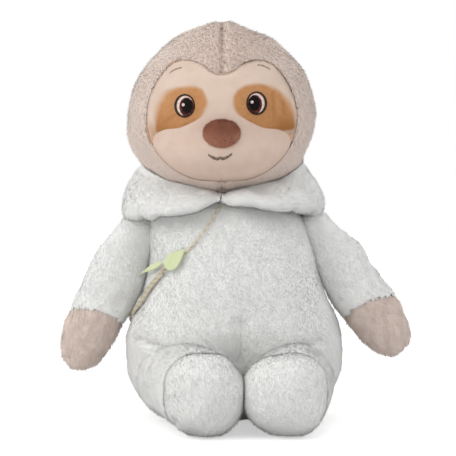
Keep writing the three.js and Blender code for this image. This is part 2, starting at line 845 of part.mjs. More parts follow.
function buildArm(name, sign) {
  const bodyGap = jointGap + (sign < 0 ? ribbon.passage : 0);
  const shaped = (facets, inset) => {
    const form = grownSolid(armForm(name, sign, facets), -inset);
    return form.subtract(torsoSideSweep(sign, bodyGap, inset));
  };
  const shell = shaped(arm.facets, 0).subtract(shaped(innerFacets, plushThickness));
  const along = armDirection(name, sign);
  const turn = new THREE.Quaternion().setFromUnitVectors(up, along);
  const afterCuff = (gap) => {
    const box = new THREE.BoxGeometry(2 * overrun, 2 * overrun, overrun);
    box.translate(0, 0, arm.cuffShare * arm.length + gap + overrun * half).applyQuaternion(turn);
    const { x, y, z } = shoulder(sign);
    return toSolid(box.translate(x, y, z));
  };
  return [
    [`sleeve_${name}`, shell.subtract(afterCuff(0)), materials.suit],
    [`paw_${name}`, shell.intersect(afterCuff(seamGap)), materials.fur],
    [`arm_filling_${name}`, shaped(innerFacets, plushThickness + seamGap), materials.filling],
  ];
}

// Legs and feet

function hipPoint(name) {
  return new THREE.Vector3(hip[name], hip.y, hip.z);
}

function footPoint(name) {
  return new THREE.Vector3(foot[name], foot.y, foot.z);
}

function legForm(name, facets) {
  return limb(hipPoint(name), footPoint(name), legShares, hip.radius, 1, facets);
}

function footForm(name, facets, bands) {
  return ellipsoid(footPoint(name), foot.halfWidth, foot.depth, foot.halfHeight, facets, bands);
}

// All the places that a leg and its foot pass through as it lifts
function legSweep(name, clearance) {
  const margin = clearance + facetMargin(hip.radius, innerFacets);
  const { x, y, z } = hipPoint(name);
  const lifted = (form, angle) => {
    const turned = grow(form, margin).translate(-x, -y, -z).rotateX(-angle * degree);
    return toSolid(turned.translate(x, y, z));
  };
  const leg = legForm(name, innerFacets);
  const raisedFoot = lifted(footForm(name, innerFacets, innerBands), legLiftAngle);
  return lifted(leg, 0).add(lifted(leg, legLiftAngle)).add(raisedFoot);
}

function buildLeg(name) {
  const leg = { outer: legForm(name, hip.facets), inner: legForm(name, innerFacets) };
  const sole = {
    outer: footForm(name, foot.facets, foot.bands),
    inner: footForm(name, innerFacets, innerBands),
  };
  const end = footPoint(name);
  const openingProfile = [
    new THREE.Vector2(0, 0),
    new THREE.Vector2(foot.openingRadius, 0),
    new THREE.Vector2(foot.openingRadius, overrun),
    new THREE.Vector2(0, overrun),
  ];
  const back = new THREE.Vector3().subVectors(hipPoint(name), end).normalize();
  const opening = toSolid(revolved(openingProfile, hip.facets, end, back));
  const inside = (form, inset) => grownSolid(form, -inset).intersect(past("z", inset, 1));
  const footSpace = grownSolid(sole.outer, seamGap);
  const shell = ({ outer, inner }) => inside(outer, 0).subtract(inside(inner, plushThickness));
  const depth = plushThickness + seamGap;
  return [
    [`leg_${name}`, shell(leg).subtract(footSpace), materials.suit],
    [`leg_filling_${name}`, inside(leg.inner, depth).subtract(footSpace), materials.filling],
    [`foot_${name}`, shell(sole).subtract(opening), materials.suit],
    [`foot_filling_${name}`, inside(sole.inner, depth), materials.filling],
  ];
}

// Hood

function collarForm(sign) {
  const rings = collarShares.map(([angle, topRadius, topRise, lowRadius, lowRise, padding]) => {
    const around = angle * degree;
    const out = new THREE.Vector3(sign * Math.sin(around), -Math.cos(around), 0);
    const place = (radius, rise) =>
      new THREE.Vector3(torso.neckX, 0, collar.lowest + rise * collar.height).addScaledVector(
        out,
        radius * collar.radius,
      );
    const [top, low] = [place(topRadius, topRise), place(lowRadius, lowRise)];
    const middle = new THREE.Vector3().addVectors(top, low).multiplyScalar(half);
    const thickness = padding * collar.padding;
    const lengthwise = new THREE.Vector3().subVectors(top, middle);
    lengthwise.setLength(lengthwise.length() + thickness * half);
    const along = new THREE.Vector3().crossVectors(up, out);
    const crosswise = new THREE.Vector3().crossVectors(along, lengthwise).setLength(thickness);
    return Array.from({ length: collar.facets }, (_, i) => {
      const turn = (fullTurn * i) / collar.facets;
      const point = middle.clone().addScaledVector(lengthwise, Math.cos(turn));
      return point.addScaledVector(crosswise, Math.sin(turn));
    });
  });
  return loft(rings);
}

function buildCollar() {
  const body = grownSolid(torsoForm(torso.facets), seamGap).add(headSweep(jointGap));
  return sides.map(({ name, sign }) => {
    const own = past("x", torso.neckX + sign * seamGap * half, sign);
    const roll = toSolid(collarForm(sign)).intersect(own);
    return [`collar_${name}`, roll.subtract(body).subtract(shoulderSweep(sign)), materials.suit];
  });
}

// One curved layer of the crown, from a depth behind the innermost surface
function hoodLayer(depth, thickness) {
  const line = (offset) =>
    hoodBulgeShares.map(([drop, bulge]) => {
      const radius = hood.curveRadius + offset + bulge * hood.bulge;
      return new THREE.Vector2(radius, hood.top - drop * hood.drop);
    });
  const profile = [...line(depth + thickness), ...line(depth).reverse()];
  profile.push(profile[0].clone());
  const centre = new THREE.Vector3(torso.neckX, hood.y - hood.curveRadius, 0);
  return toSolid(revolved(profile, hood.facets, centre, up));
}

function hoodOutline(margin) {
  const { left, right } = mirrored(hoodOutlineShares, ([x, drop]) => [
    x * (hood.halfWidth - margin),
    hood.top - margin * half - drop * (hood.drop - margin),
  ]);
  return closedCurve([...left, ...right.slice(1, -1).reverse()], hood.curvePoints);
}

function buildHood() {
  const trim = (margin) => prism(hoodOutline(margin), 0, 1);
  const lining = hoodLayer(0, hood.lining).intersect(trim(hood.lining));
  const cover = hoodLayer(hood.lining + seamGap, hood.shell).intersect(trim(0));
  return [
    ["hood_lining", lining, materials.suit],
    ["hood_cover", cover, materials.suit],
  ];
}

// Sash

// Tube or ribbon along a path, its flat side turned to the torso
function strand(path, halfWidth, halfThickness, facets, steps) {
  const turnShare = facets === ribbonSides ? half : 0;
  const corner = 1 / Math.cos(turnShare * (fullTurn / facets));
  const rings = Array.from({ length: steps + 1 }, (_, i) => {
    const point = path.getPoint(i / steps);
    const tangent = path.getTangent(i / steps);
    const out = outOfTorso(point);
    out.addScaledVector(tangent, -out.dot(tangent)).normalize();
    const across = new THREE.Vector3().crossVectors(out, tangent);
    return Array.from({ length: facets }, (_, side) => {
      const angle = (fullTurn * (side + turnShare)) / facets;
      const place = point.clone().addScaledVector(across, corner * halfWidth * Math.cos(angle));
      return place.addScaledVector(out, corner * halfThickness * Math.sin(angle));
    });
  });
  return toSolid(loft(rings));
}

// Place over the torso's front, a lift off the point that is seen at x and z
function overFront(x, z, lift) {
  const point = new THREE.Vector3(x, torsoFront(x, z), z);
  return point.addScaledVector(outOfTorso(point), lift);
}

function knotForm() {
  const { halfLength, radius, facets, bands } = knot;
  const form = ellipsoid(new THREE.Vector3(), halfLength, radius, radius, facets, bands);
  const { large, small } = leafSizes;
  form.rotateY(-Math.atan2(large.tipZ - small.tipZ, large.tipX - small.tipX));
  const centre = overFront(knot.x, knot.z, knot.radius + cord.clearance);
  return form.translate(centre.x, centre.y, centre.z);
}

function leafSolid({ tipX, tipZ, halfWidth, lift }) {
  const start = overFront(knot.x, knot.z, lift);
  const tip = overFront(tipX, tipZ, lift);
  const along = new THREE.Vector3().subVectors(tip, start);
  const length = along.length() - knot.halfLength - leaf.tuck;
  along.normalize();
  start.addScaledVector(along, knot.halfLength + leaf.tuck);
  const out = outOfTorso(new THREE.Vector3().lerpVectors(start, tip, half));
  out.addScaledVector(along, -out.dot(along)).normalize();
  const across = new THREE.Vector3().crossVectors(out, along);
  const edge = leafShares.map(([share, width]) => [share * length, width * halfWidth]);
  const otherEdge = edge.slice(0, -1).reverse().map(([x, width]) => [x, -width]);
  const shape = new THREE.Shape(closedCurve([...edge, ...otherEdge], leaf.curvePoints));
  const geometry = new THREE.ExtrudeGeometry(shape, { depth: feltThickness, bevelEnabled: false });
  geometry.applyMatrix4(new THREE.Matrix4().makeBasis(along, across, out).setPosition(start));
  return toSolid(geometry);
}

function buildSash() {
  const cordLift = cord.diameter * half + cord.clearance;
  const cordPoints = cordRouteShares.map(([across, height]) =>
    overFront(torso.neckX + across * torso.halfWidth, height * torso.height, cordLift),
  );
  const ribbonLift = ribbon.thickness * half + ribbon.clearance;
  const ribbonPoints = ribbonRouteShares.map(([height, angle]) =>
    torsoPoint(height * torso.height, angle * degree, ribbonLift),
  );
  const [cordLine, ribbonLine] = [cordPoints, ribbonPoints].map(
    (points) => new THREE.CatmullRomCurve3(points),
  );
  const cordRadius = cord.diameter * half;
  const cordSolid = strand(cordLine, cordRadius, cordRadius, cord.facets, cord.steps);
  const ribbonSize = [ribbon.width * half, ribbon.thickness * half];
  const ribbonSolid = strand(ribbonLine, ...ribbonSize, ribbonSides, ribbon.steps);
  const body = grownSolid(torsoForm(torso.facets), seamGap);
  const space = body.add(grownSolid(knotForm(), seamGap));
  return [
    ["sash_cord", cordSolid.subtract(space), materials.cord],
    ["sash_ribbon", ribbonSolid.subtract(space), materials.ribbon],
    ["leaf_knot", toSolid(knotForm()).subtract(body), materials.ribbon],
  ];
}

// Assembly

const root = new THREE.Group();

// A group at its joint's place that holds the pieces that move together
function addBody(name, pivot, pieces) {
  const group = new THREE.Group();
  group.name = name;
  group.position.copy(pivot);
  for (const [pieceName, solid, material] of pieces) {
    const geometry = toGeometry(largest(solid)).translate(-pivot.x, -pivot.y, -pivot.z);
    const mesh = new THREE.Mesh(geometry, material);
    mesh.name = pieceName;
    group.add(mesh);
  }
  root.add(group);
}

addBody("torso", new THREE.Vector3(), [...buildTorso(), ...buildCollar(), ...buildSash()]);
addBody("head", new THREE.Vector3(torso.neckX, head.y, torso.height), buildHead());
addBody("hood", new THREE.Vector3(torso.neckX, hood.y, hood.top), buildHood());
for (const { name, sign } of sides) {
  addBody(`arm_${name}`, shoulder(sign), buildArm(name, sign));
  addBody(`leg_${name}`, hipPoint(name), buildLeg(name));
}
for (const [name, size] of Object.entries(leafSizes)) {
  const pivot = overFront(knot.x, knot.z, size.lift);
  addBody(`leaf_spray_${name}`, pivot, [[`leaf_${name}`, leafSolid(size), materials.felt]]);
}

export default root;
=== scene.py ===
import json
import math

import bpy
import numpy as np
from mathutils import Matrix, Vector

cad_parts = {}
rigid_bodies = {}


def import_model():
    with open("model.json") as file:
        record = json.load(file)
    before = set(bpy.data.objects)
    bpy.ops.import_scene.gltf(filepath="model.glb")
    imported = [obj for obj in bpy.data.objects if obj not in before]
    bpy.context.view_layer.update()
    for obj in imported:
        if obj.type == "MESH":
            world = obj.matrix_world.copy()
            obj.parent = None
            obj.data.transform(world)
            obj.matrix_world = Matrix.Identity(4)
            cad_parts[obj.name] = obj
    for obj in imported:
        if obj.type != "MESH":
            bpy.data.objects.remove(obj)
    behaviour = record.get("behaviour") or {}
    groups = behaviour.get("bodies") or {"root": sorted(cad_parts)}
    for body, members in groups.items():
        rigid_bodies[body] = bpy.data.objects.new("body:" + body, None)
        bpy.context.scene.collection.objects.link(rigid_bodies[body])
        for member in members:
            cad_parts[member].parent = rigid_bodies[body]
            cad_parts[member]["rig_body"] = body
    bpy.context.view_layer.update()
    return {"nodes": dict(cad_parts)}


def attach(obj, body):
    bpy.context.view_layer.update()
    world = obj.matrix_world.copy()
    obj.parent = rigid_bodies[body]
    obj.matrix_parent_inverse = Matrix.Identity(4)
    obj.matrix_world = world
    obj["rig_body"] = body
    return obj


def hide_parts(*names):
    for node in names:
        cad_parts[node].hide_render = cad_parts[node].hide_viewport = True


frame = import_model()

mm = 0.001
sides = {"left": 1, "right": -1}  # the toy's own left is +X
neckX = -9
clothRest = 1.5  # how far the backing lies inside the pile's outer surface
clothThickness = 0.8
groundGap = 1.2  # least height of the suit's backing, with the pile under it
nodes = frame["nodes"]


def newObject(name, data):
    item = bpy.data.objects.new(name, data)
    bpy.context.scene.collection.objects.link(item)
    return item


# Camera

camera = {"target": (-3.6, 0, 169.8), "distance": 1500, "elevation": 3, "lens": 131.58, "clipEnd": 20000}


def placeCamera(values):
    data = bpy.data.cameras.new("photo_camera")
    data.lens = values["lens"]
    data.clip_end = values["clipEnd"] * mm
    item = newObject("photo_camera", data)
    rise = math.radians(values["elevation"])
    target = Vector(values["target"]) * mm
    item.location = target + Vector((0, -math.cos(rise), math.sin(rise))) * values["distance"] * mm
    item.rotation_euler = (target - item.location).to_track_quat("-Z", "Y").to_euler()
    bpy.context.scene.camera = item


placeCamera(camera)


# Numbers and surfaces


def smoothTable(rows, at):
    # monotone cubic through the rows, read at the shares in at; the first column is the share
    rows = np.array(rows, float)
    x, y = rows[:, 0], rows[:, 1:]
    step = np.diff(x)[:, None]
    slope = np.diff(y, axis=0) / step
    tangent = np.zeros_like(y)
    before, after = slope[:-1], slope[1:]
    same = before * after > 0
    total = np.where(same, before + after, 1)
    tangent[1:-1] = np.where(same, 2 * before * after / total, 0)
    tangent[0], tangent[-1] = slope[0], slope[-1]
    at = np.clip(np.asarray(at, float), x[0], x[-1])
    i = np.clip(np.searchsorted(x, at, side="right") - 1, 0, len(x) - 2)
    h = step[i]
    t = (at - x[i])[:, None] / h
    return (
        (1 + 2 * t) * (1 - t) ** 2 * y[i]
        + t * (1 - t) ** 2 * h * tangent[i]
        + t**2 * (3 - 2 * t) * y[i + 1]
        + t**2 * (t - 1) * h * tangent[i + 1]
    )


def crowded(count, amount):
    # shares from 0 to 1, closer together at both ends
    share = np.linspace(0, 1, count)
    return share - amount * np.sin(2 * math.pi * share) / (2 * math.pi)


def circle(count):
    return np.arange(count) * 2 * math.pi / count


def signedPower(value, power):
    return np.sign(value) * np.abs(value) ** power


def unit(vectors):
    return vectors / np.maximum(np.linalg.norm(vectors, axis=-1, keepdims=True), 1e-9)


def ripple(points, size, seed):
    # smooth irregular field of some waves, mostly from -1 to 1, its bumps about one size apart
    rng = np.random.default_rng(seed)
    waves, total = 7, 0
    for _ in range(waves):
        direction = unit(rng.normal(size=points.shape[1]))
        turn = 2 * math.pi / (size * rng.uniform(0.75, 1.6))
        total = total + np.sin(points @ direction * turn + rng.uniform(0, 2 * math.pi))
    return total / math.sqrt(waves)


def lumps(points, form, seed, kind="lump"):
    # how the filling makes a form's skin stand out and sink in
    return form[kind] * ripple(points, form[f"{kind}Size"], seed)


def fade(value, low, high):
    t = np.clip((value - low) / (high - low), 0, 1)
    return t * t * (3 - 2 * t)


def lineDistance(points, line):
    # distance from each point to a line of straight stretches, in as many dimensions as both have
    line = np.array(line, float)
    best = np.full(len(points), np.inf)
    for a, b in zip(line[:-1], line[1:]):
        ab = b - a
        t = np.clip((points - a) @ ab / max(ab @ ab, 1e-9), 0, 1)[:, None]
        best = np.minimum(best, np.linalg.norm(points - (a + t * ab), axis=1))
    return best


def inOutline(points, outline):
    # whether each point of a plane is inside a closed outline
    inside = np.zeros(len(points), bool)
    x, y = points[:, 0], points[:, 1]
    for (ax, ay), (bx, by) in zip(outline, np.roll(outline, -1, axis=0)):
        crosses = (ay > y) != (by > y)
        if crosses.any():
            inside[crosses] ^= x[crosses] < (bx - ax) * (y[crosses] - ay) / (by - ay) + ax
    return inside


def roundCurve(points, count, closed=True):
    # smooth curve through the points, evenly spaced
    points = np.array(points, float)
    if closed:
        points = np.vstack([points[-1:], points, points[:2]])
    else:
        points = np.vstack([2 * points[0] - points[1], points, 2 * points[-1] - points[-2]])
    drawn = []
    for a, b, c, d in zip(points[:-3], points[1:-2], points[2:-1], points[3:]):
        gaps = [np.linalg.norm(q - p) ** 0.5 for p, q in ((a, b), (b, c), (c, d))]
        m1 = (b - a) / gaps[0] - (c - a) / (gaps[0] + gaps[1]) + (c - b) / gaps[1]
        m2 = (c - b) / gaps[1] - (d - b) / (gaps[1] + gaps[2]) + (d - c) / gaps[2]
        m1, m2 = m1 * gaps[1], m2 * gaps[1]
        for t in np.arange(24) / 24:
            drawn.append(
                (2 * t**3 - 3 * t**2 + 1) * b
                + (t**3 - 2 * t**2 + t) * m1
                + (3 * t**2 - 2 * t**3) * c
                + (t**3 - t**2) * m2
            )
    drawn = np.array([*drawn, drawn[0] if closed else points[-2]])
    along = np.concatenate([[0], np.cumsum(np.linalg.norm(np.diff(drawn, axis=0), axis=1))])
    at = np.linspace(0, along[-1], count, endpoint=not closed)
    return np.stack([np.interp(at, along, column) for column in drawn.T], 1)


def vertexNormals(points, faces):
    # faces is a list of arrays, each with faces of three or of four corners
    normals = np.zeros_like(points)
    for group in faces:
        a, b, c, last = (points[group[:, k]] for k in (0, 1, 2, -1))
        normal = np.cross(b - a, c - a) if group.shape[1] == 3 else np.cross(c - a, last - b)
        for column in group.T:
            np.add.at(normals, column, normal)
    return unit(normals)


def loft(rings, startTip, endTip):
    # closed skin through rings of points, (rings, around, 3), with a tip at both ends
    count, around = rings.shape[:2]
    i, row = (grid.ravel() for grid in np.meshgrid(np.arange(around), np.arange(count - 1)))
    j = (i + 1) % around
    low, high = row * around, (row + 1) * around
    faces = [np.stack([low + i, low + j, high + j, high + i], 1)]
    points = np.vstack([rings.reshape(-1, 3), startTip, endTip])
    i = np.arange(around)
    j = (i + 1) % around
    middle = np.full(around, count * around)
    faces.append(np.stack([j, i, middle], 1))
    last = (count - 1) * around
    faces.append(np.stack([last + i, last + j, middle + 1], 1))
    return points, faces


def levelRings(heights, centres, halfWidths, fronts, backs, squareness, around):
    # rings at heights, each an oval whose front and back may differ in depth
    angle = circle(around)
    across = signedPower(np.cos(angle), 2 / squareness)
    ahead = signedPower(np.sin(angle), 2 / squareness)
    depth = np.where(ahead[None] < 0, fronts[:, None], backs[:, None])
    x = centres[:, 0:1] + across[None] * halfWidths[:, None]
    y = centres[:, 1:2] + ahead[None] * depth
    return np.stack([x, y, np.repeat(heights[:, None], around, 1)], 2)


def limb(start, end, rows, radius, flatness, around, along):
    # limb from a round root to a tapering end, its rows shares of the length and of the radius
    start, end = np.array(start, float), np.array(end, float)
    axis = unit(end - start)
    length = np.linalg.norm(end - start)
    across = unit(np.cross(axis, np.cross([1.0, 0, 0], axis)))
    deep = np.cross(axis, across)
    root = rows[0][1] * radius
    turn = np.linspace(0.06, 1, 10)[:-1] * math.pi / 2
    shares = 1 - (1 - np.linspace(0, 1, along)[:-1]) ** 1.5
    sizes = smoothTable(rows, shares)[:, 0] * radius
    distance = np.concatenate([-root * np.cos(turn), shares * length])
    size = np.concatenate([root * np.sin(turn), sizes])
    angle = circle(around)
    ring = np.cos(angle)[:, None] * across + np.sin(angle)[:, None] * deep * flatness
    rings = start + distance[:, None, None] * axis + size[:, None, None] * ring[None]
    return loft(rings, start - root * axis, end)


def ovalSkin(centre, form):
    # closed oval, its bands level; a fullness over 2 fills it out
    rise = np.linspace(-math.pi / 2, math.pi / 2, form["bands"] + 1)[1:-1]
    heights = centre[2] + form["halfHeight"] * signedPower(np.sin(rise), 2 / form["fullness"])
    reach = np.abs(np.cos(rise)) ** (2 / form["fullness"])
    middle = np.repeat(np.array([[centre[0], centre[1]]], float), len(rise), 0)
    depth = reach * form["depth"]
    rings = levelRings(heights, middle, reach * form["halfWidth"], depth, depth, 2, form["around"])
    up = np.array([0, 0, form["halfHeight"]])
    return loft(rings, centre - up, centre + up)


def tidied(points, faces):
    # the same skin without its unused points
    used = np.unique(np.concatenate([group.ravel() for group in faces]))
    renumber = np.full(len(points), -1)
    renumber[used] = np.arange(len(used))
    return points[used], [renumber[group] for group in faces]


def keepFaces(points, faces, wanted):
    # the part of a skin whose faces have their middles where it is wanted
    kept = [group[wanted(points[group].mean(1))] for group in faces]
    return tidied(points, [group for group in kept if len(group)])


def borderOf(faces):
    # the points on open edges
    edges = []
    for group in faces:
        for column in range(group.shape[1]):
            edges.append(group[:, [column, (column + 1) % group.shape[1]]])
    edges = np.sort(np.vstack(edges), axis=1)
    found, counts = np.unique(edges, axis=0, return_counts=True)
    return np.unique(found[counts == 1])


def outlineDistance(points, outlines):
    # distance to the nearest of some closed outlines
    return np.min([lineDistance(points, [*outline, outline[0]]) for outline in outlines], axis=0)


def snapped(points, outlines):
    # each point moved to the nearest place on the outlines
    best = np.full(len(points), np.inf)
    moved = points.copy()
    for outline in outlines:
        for a, b in zip(outline, np.roll(outline, -1, axis=0)):
            ab = b - a
            t = np.clip((points - a) @ ab / max(ab @ ab, 1e-9), 0, 1)[:, None]
            place = a + t * ab
            gap = np.linalg.norm(points - place, axis=1)
            nearer = gap < best
            best[nearer], moved[nearer] = gap[nearer], place[nearer]
    return moved


def cutPad(outlines, step, place, top, bottom):
    # closed pad cut to an outline, with holes after the first; place turns (u, v, lift) into points,
    # top and bottom give the lift from (u, v) and the distance to the edge, and the two meet at the edge
    low, high = outlines[0].min(0) - step, outlines[0].max(0) + step
    count = np.ceil((high - low) / step).astype(int)
    u, v = [low[k] + np.arange(count[k] + 1) * step for k in (0, 1)]
    flat = np.stack(np.meshgrid(u, v, indexing="ij"), 2).reshape(-1, 2)
    i, j = [g.ravel() for g in np.meshgrid(np.arange(count[0]), np.arange(count[1]), indexing="ij")]
    wide = count[1] + 1
    quads = np.stack([i * wide + j, (i + 1) * wide + j, (i + 1) * wide + j + 1, i * wide + j + 1], 1)
    middles = flat[quads].mean(1)
    inside = inOutline(middles, outlines[0])
    for hole in outlines[1:]:
        inside &= ~inOutline(middles, hole)
    flat, (quads,) = tidied(flat, [quads[inside]])
    edge = borderOf([quads])
    flat[edge] = snapped(flat[edge], outlines)
    reach = outlineDistance(flat, outlines)
    reach[edge] = 0
    upper = place(flat[:, 0], flat[:, 1], top(flat, reach))
    lower = place(flat[:, 0], flat[:, 1], bottom(flat, reach))
    upper[edge] = (upper[edge] + lower[edge]) / 2
    number = np.arange(len(flat)) + len(flat)
    number[edge] = edge
    return tidied(np.vstack([upper, lower]), [quads, number[quads][:, ::-1]])


# Materials: each starts from the real fabric, its colours as sRGB hex


def linear(hexColour):
    parts = [int(hexColour[i : i + 2], 16) / 255 for i in (0, 2, 4)]
    return tuple(p / 12.92 if p <= 0.04045 else ((p + 0.055) / 1.055) ** 2.4 for p in parts) + (1.0,)


def addNode(tree, kind, settings=None, inputs=None):
    node = tree.nodes.new(kind)
    for name, value in (settings or {}).items():
        setattr(node, name, value)
    for name, value in (inputs or {}).items():
        if isinstance(value, bpy.types.NodeSocket):
            tree.links.new(value, node.inputs[name])
        else:
            node.inputs[name].default_value = value
    return node


def newMaterial(name):
    # a material with its shader, and the place on the piece that its patterns read
    item = bpy.data.materials.new(name)
    item.use_nodes = True
    tree = item.node_tree
    tree.nodes.clear()
    shader = addNode(tree, "ShaderNodeBsdfPrincipled")
    output = addNode(tree, "ShaderNodeOutputMaterial")
    tree.links.new(shader.outputs["BSDF"], output.inputs["Surface"])
    where = addNode(tree, "ShaderNodeTexCoord").outputs["Object"]
    return item, tree, shader, where


def perMetre(size):
    return 1 / (size * mm)  # scale of a pattern whose cells are one size apart


def attribute(tree, name):
    return addNode(tree, "ShaderNodeAttribute", {"attribute_name": name}).outputs["Fac"]


def noise(tree, where, size, detail=3.0, distortion=0.0):
    # clouds about one size apart
    inputs = {"Vector": where, "Scale": perMetre(size), "Detail": detail, "Distortion": distortion}
    return addNode(tree, "ShaderNodeTexNoise", None, inputs).outputs["Fac"]


def bands(tree, where, size, direction, distortion, detailScale):
    # soft bands 2 pi sizes apart: the wave texture runs through 20 radians in each unit
    look = {"wave_type": "BANDS", "bands_direction": direction}
    inputs = {"Vector": where, "Scale": perMetre(size) / 20, "Distortion": distortion}
    inputs.update({"Detail": 2.0, "Detail Scale": detailScale})
    return addNode(tree, "ShaderNodeTexWave", look, inputs).outputs["Fac"]


def mixColour(tree, factor, first, second):
    node = addNode(tree, "ShaderNodeMix", {"data_type": "RGBA"})
    for socket, value in zip((node.inputs[0], node.inputs[6], node.inputs[7]), (factor, first, second)):
        if isinstance(value, bpy.types.NodeSocket):
            tree.links.new(value, socket)
        else:
            socket.default_value = value
    return node.outputs[2]


def ranged(tree, value, low, high, toLow=0.0, toHigh=1.0):
    inputs = {"Value": value, "From Min": low, "From Max": high, "To Min": toLow, "To Max": toHigh}
    return addNode(tree, "ShaderNodeMapRange", None, inputs).outputs["Result"]


def dress(tree, shader, colour, roughness, gloss, relief=None, sheen=None):
    # gives a shader its looks; relief is (pattern, strength, depth), sheen is (weight, roughness, tint)
    tree.links.new(colour, shader.inputs["Base Color"])
    tree.links.new(roughness, shader.inputs["Roughness"])
    shader.inputs["Specular IOR Level"].default_value = gloss
    if relief:
        height, strength, depth = relief
        inputs = {"Height": height, "Strength": strength, "Distance": depth * mm}
        bump = addNode(tree, "ShaderNodeBump", None, inputs)
        tree.links.new(bump.outputs["Normal"], shader.inputs["Normal"])
    if sheen:
        for key, value in zip(("Sheen Weight", "Sheen Roughness", "Sheen Tint"), sheen):
            shader.inputs[key].default_value = value


# Polyester plush: a cut pile, matt, with a faint rim of light where the fibre ends catch it.
# One tuft stands for some tens of fibres, which are too fine to show.
# Its darker root is painted shade deep in the pile.
def plushPile(name, tip, root, shade, clump, cloud, clumpDepth=0.35, sheen=0.35):
    item, tree, shader, where = newMaterial(name)
    tip, root, shade = linear(tip), linear(root), linear(shade)
    fine, broad = noise(tree, where, clump), noise(tree, where, cloud, 2.0)
    # painted shade: each tuft darkens from its tip towards its root
    colour = mixColour(tree, ranged(tree, attribute(tree, "along"), 0.0, 0.75), root, tip)
    colour = mixColour(tree, ranged(tree, fine, 0.42, 0.68, 0, clumpDepth), colour, shade)
    colour = mixColour(tree, ranged(tree, broad, 0.45, 0.7, 0, 0.5), colour, shade)
    colour = mixColour(tree, ranged(tree, attribute(tree, "tuft"), 0.0, 1.0, 0.0, 0.22), colour, root)
    # painted shade: where the pile was stroked up, it takes the darker root colour
    colour = mixColour(tree, attribute(tree, "brushed"), colour, root)
    dress(tree, shader, colour, ranged(tree, fine, 0.3, 0.7, 0.86, 1.0), 0.2, sheen=(sheen, 0.6, tip))
    return item


# Knitted backing of the plush, seen only between the tufts: loops about 1 mm across
def knitBacking(name, colour, shade):
    item, tree, shader, where = newMaterial(name)
    colour, shade = linear(colour), linear(shade)
    inputs = {"Vector": where, "Scale": perMetre(1.0)}
    loops = addNode(tree, "ShaderNodeTexVoronoi", None, inputs).outputs["Distance"]
    broad = noise(tree, where, 12)
    mixed = mixColour(tree, ranged(tree, loops, 0.1, 0.6), colour, shade)
    mixed = mixColour(tree, ranged(tree, broad, 0.4, 0.7, 0, 0.5), mixed, shade)
    dress(tree, shader, mixed, ranged(tree, broad, 0.3, 0.7, 0.88, 1.0), 0.15, relief=(loops, 0.6, 0.4))
    return item


# Velboa: a knit with a pile of about 1 mm, so it looks like suede, with faint clouds where it was stroked.
# Its fibres are drawn 0.7 mm wide, coarser than real, so that they show.
def velboa(name, colour, shade, tint=None, tintDeep=None):
    item, tree, shader, where = newMaterial(name)
    colour, shade = linear(colour), linear(shade)
    nap, cloud = noise(tree, where, 0.7, 4.0), noise(tree, where, 14)
    mixed = mixColour(tree, ranged(tree, cloud, 0.38, 0.68, 0, 0.7), colour, shade)
    mixed = mixColour(tree, ranged(tree, nap, 0.35, 0.75, 0, 0.35), mixed, shade)
    if tint:
        streaks = noise(tree, where, 3.5, 4.0)
        # the deep share also carries painted shade along folds
        paint = mixColour(tree, attribute(tree, "deep"), linear(tint), linear(tintDeep))
        paint = mixColour(tree, ranged(tree, streaks, 0.4, 0.7, 0, 0.3), paint, linear(tintDeep))
        mixed = mixColour(tree, attribute(tree, "sprayed"), mixed, paint)
    # painted shadow in the seams: a browner colour where the fur's edge meets the face and in the dart under
    # the chin
    mixed = mixColour(tree, attribute(tree, "parted"), mixed, linear("9a7663"))
    rough = ranged(tree, nap, 0.3, 0.7, 0.8, 0.98)
    dress(tree, shader, mixed, rough, 0.25, relief=(nap, 0.35, 0.35), sheen=(0.15, 0.5, colour))
    return item


# Rayon embroidery thread in satin stitch, with a soft gloss along it. Each real thread is about 0.4 mm wide,
# too fine to show, so soft bands nearly 4 mm apart stand for them; their light and dark stripes are a
# painted sheen.
def satinStitch(name, colour, dark, tilt, pupil=None, gloss=0.3):
    item, tree, shader, where = newMaterial(name)
    inputs = {"Vector": where, "Rotation": (0.0, math.radians(tilt), 0.0)}
    turned = addNode(tree, "ShaderNodeMapping", None, inputs).outputs["Vector"]
    threadSheenBands = bands(tree, turned, 0.6, "X", 1.2, 2.0)
    # painted sheen: the colour runs from dark to light across each band
    mixed = mixColour(tree, threadSheenBands, linear(dark), linear(colour))
    if pupil:
        mixed = mixColour(tree, attribute(tree, "pupil"), mixed, linear(pupil))
    rough = ranged(tree, threadSheenBands, 0, 1, 0.7, 0.54)
    dress(tree, shader, mixed, rough, gloss, relief=(threadSheenBands, 0.7, 0.25))
    return item


# Pressed wool-mix felt: tangled fibres drawn about 1 mm apart, matt, a little darker where it was pressed
def pressedFelt(name, colour, shade):
    item, tree, shader, where = newMaterial(name)
    colour, shade = linear(colour), linear(shade)
    fibres, cloud = noise(tree, where, 0.9, 6.0, 1.5), noise(tree, where, 6, 2.0)
    mixed = mixColour(tree, ranged(tree, fibres, 0.35, 0.7, 0, 0.7), colour, shade)
    mixed = mixColour(tree, ranged(tree, cloud, 0.45, 0.7, 0, 0.4), mixed, shade)
    rough = ranged(tree, fibres, 0.3, 0.7, 0.85, 1.0)
    dress(tree, shader, mixed, rough, 0.2, relief=(fibres, 0.5, 0.3), sheen=(0.2, 0.5, (1, 1, 1, 1)))
    return item


# Twisted cotton-poly thread, woven tape and sackcloth: soft bands 4 to 6 mm apart, a dull gloss
def wovenThread(name, colour, dark, rib, direction):
    item, tree, shader, where = newMaterial(name)
    ribs, soil = bands(tree, where, rib, direction, 0.8, 3.0), noise(tree, where, 5)
    mixed = mixColour(tree, ribs, linear(dark), linear(colour))
    mixed = mixColour(tree, ranged(tree, soil, 0.45, 0.7, 0, 0.4), mixed, linear(dark))
    dress(tree, shader, mixed, ranged(tree, ribs, 0, 1, 0.85, 0.65), 0.35, relief=(ribs, 0.6, 0.2))
    return item


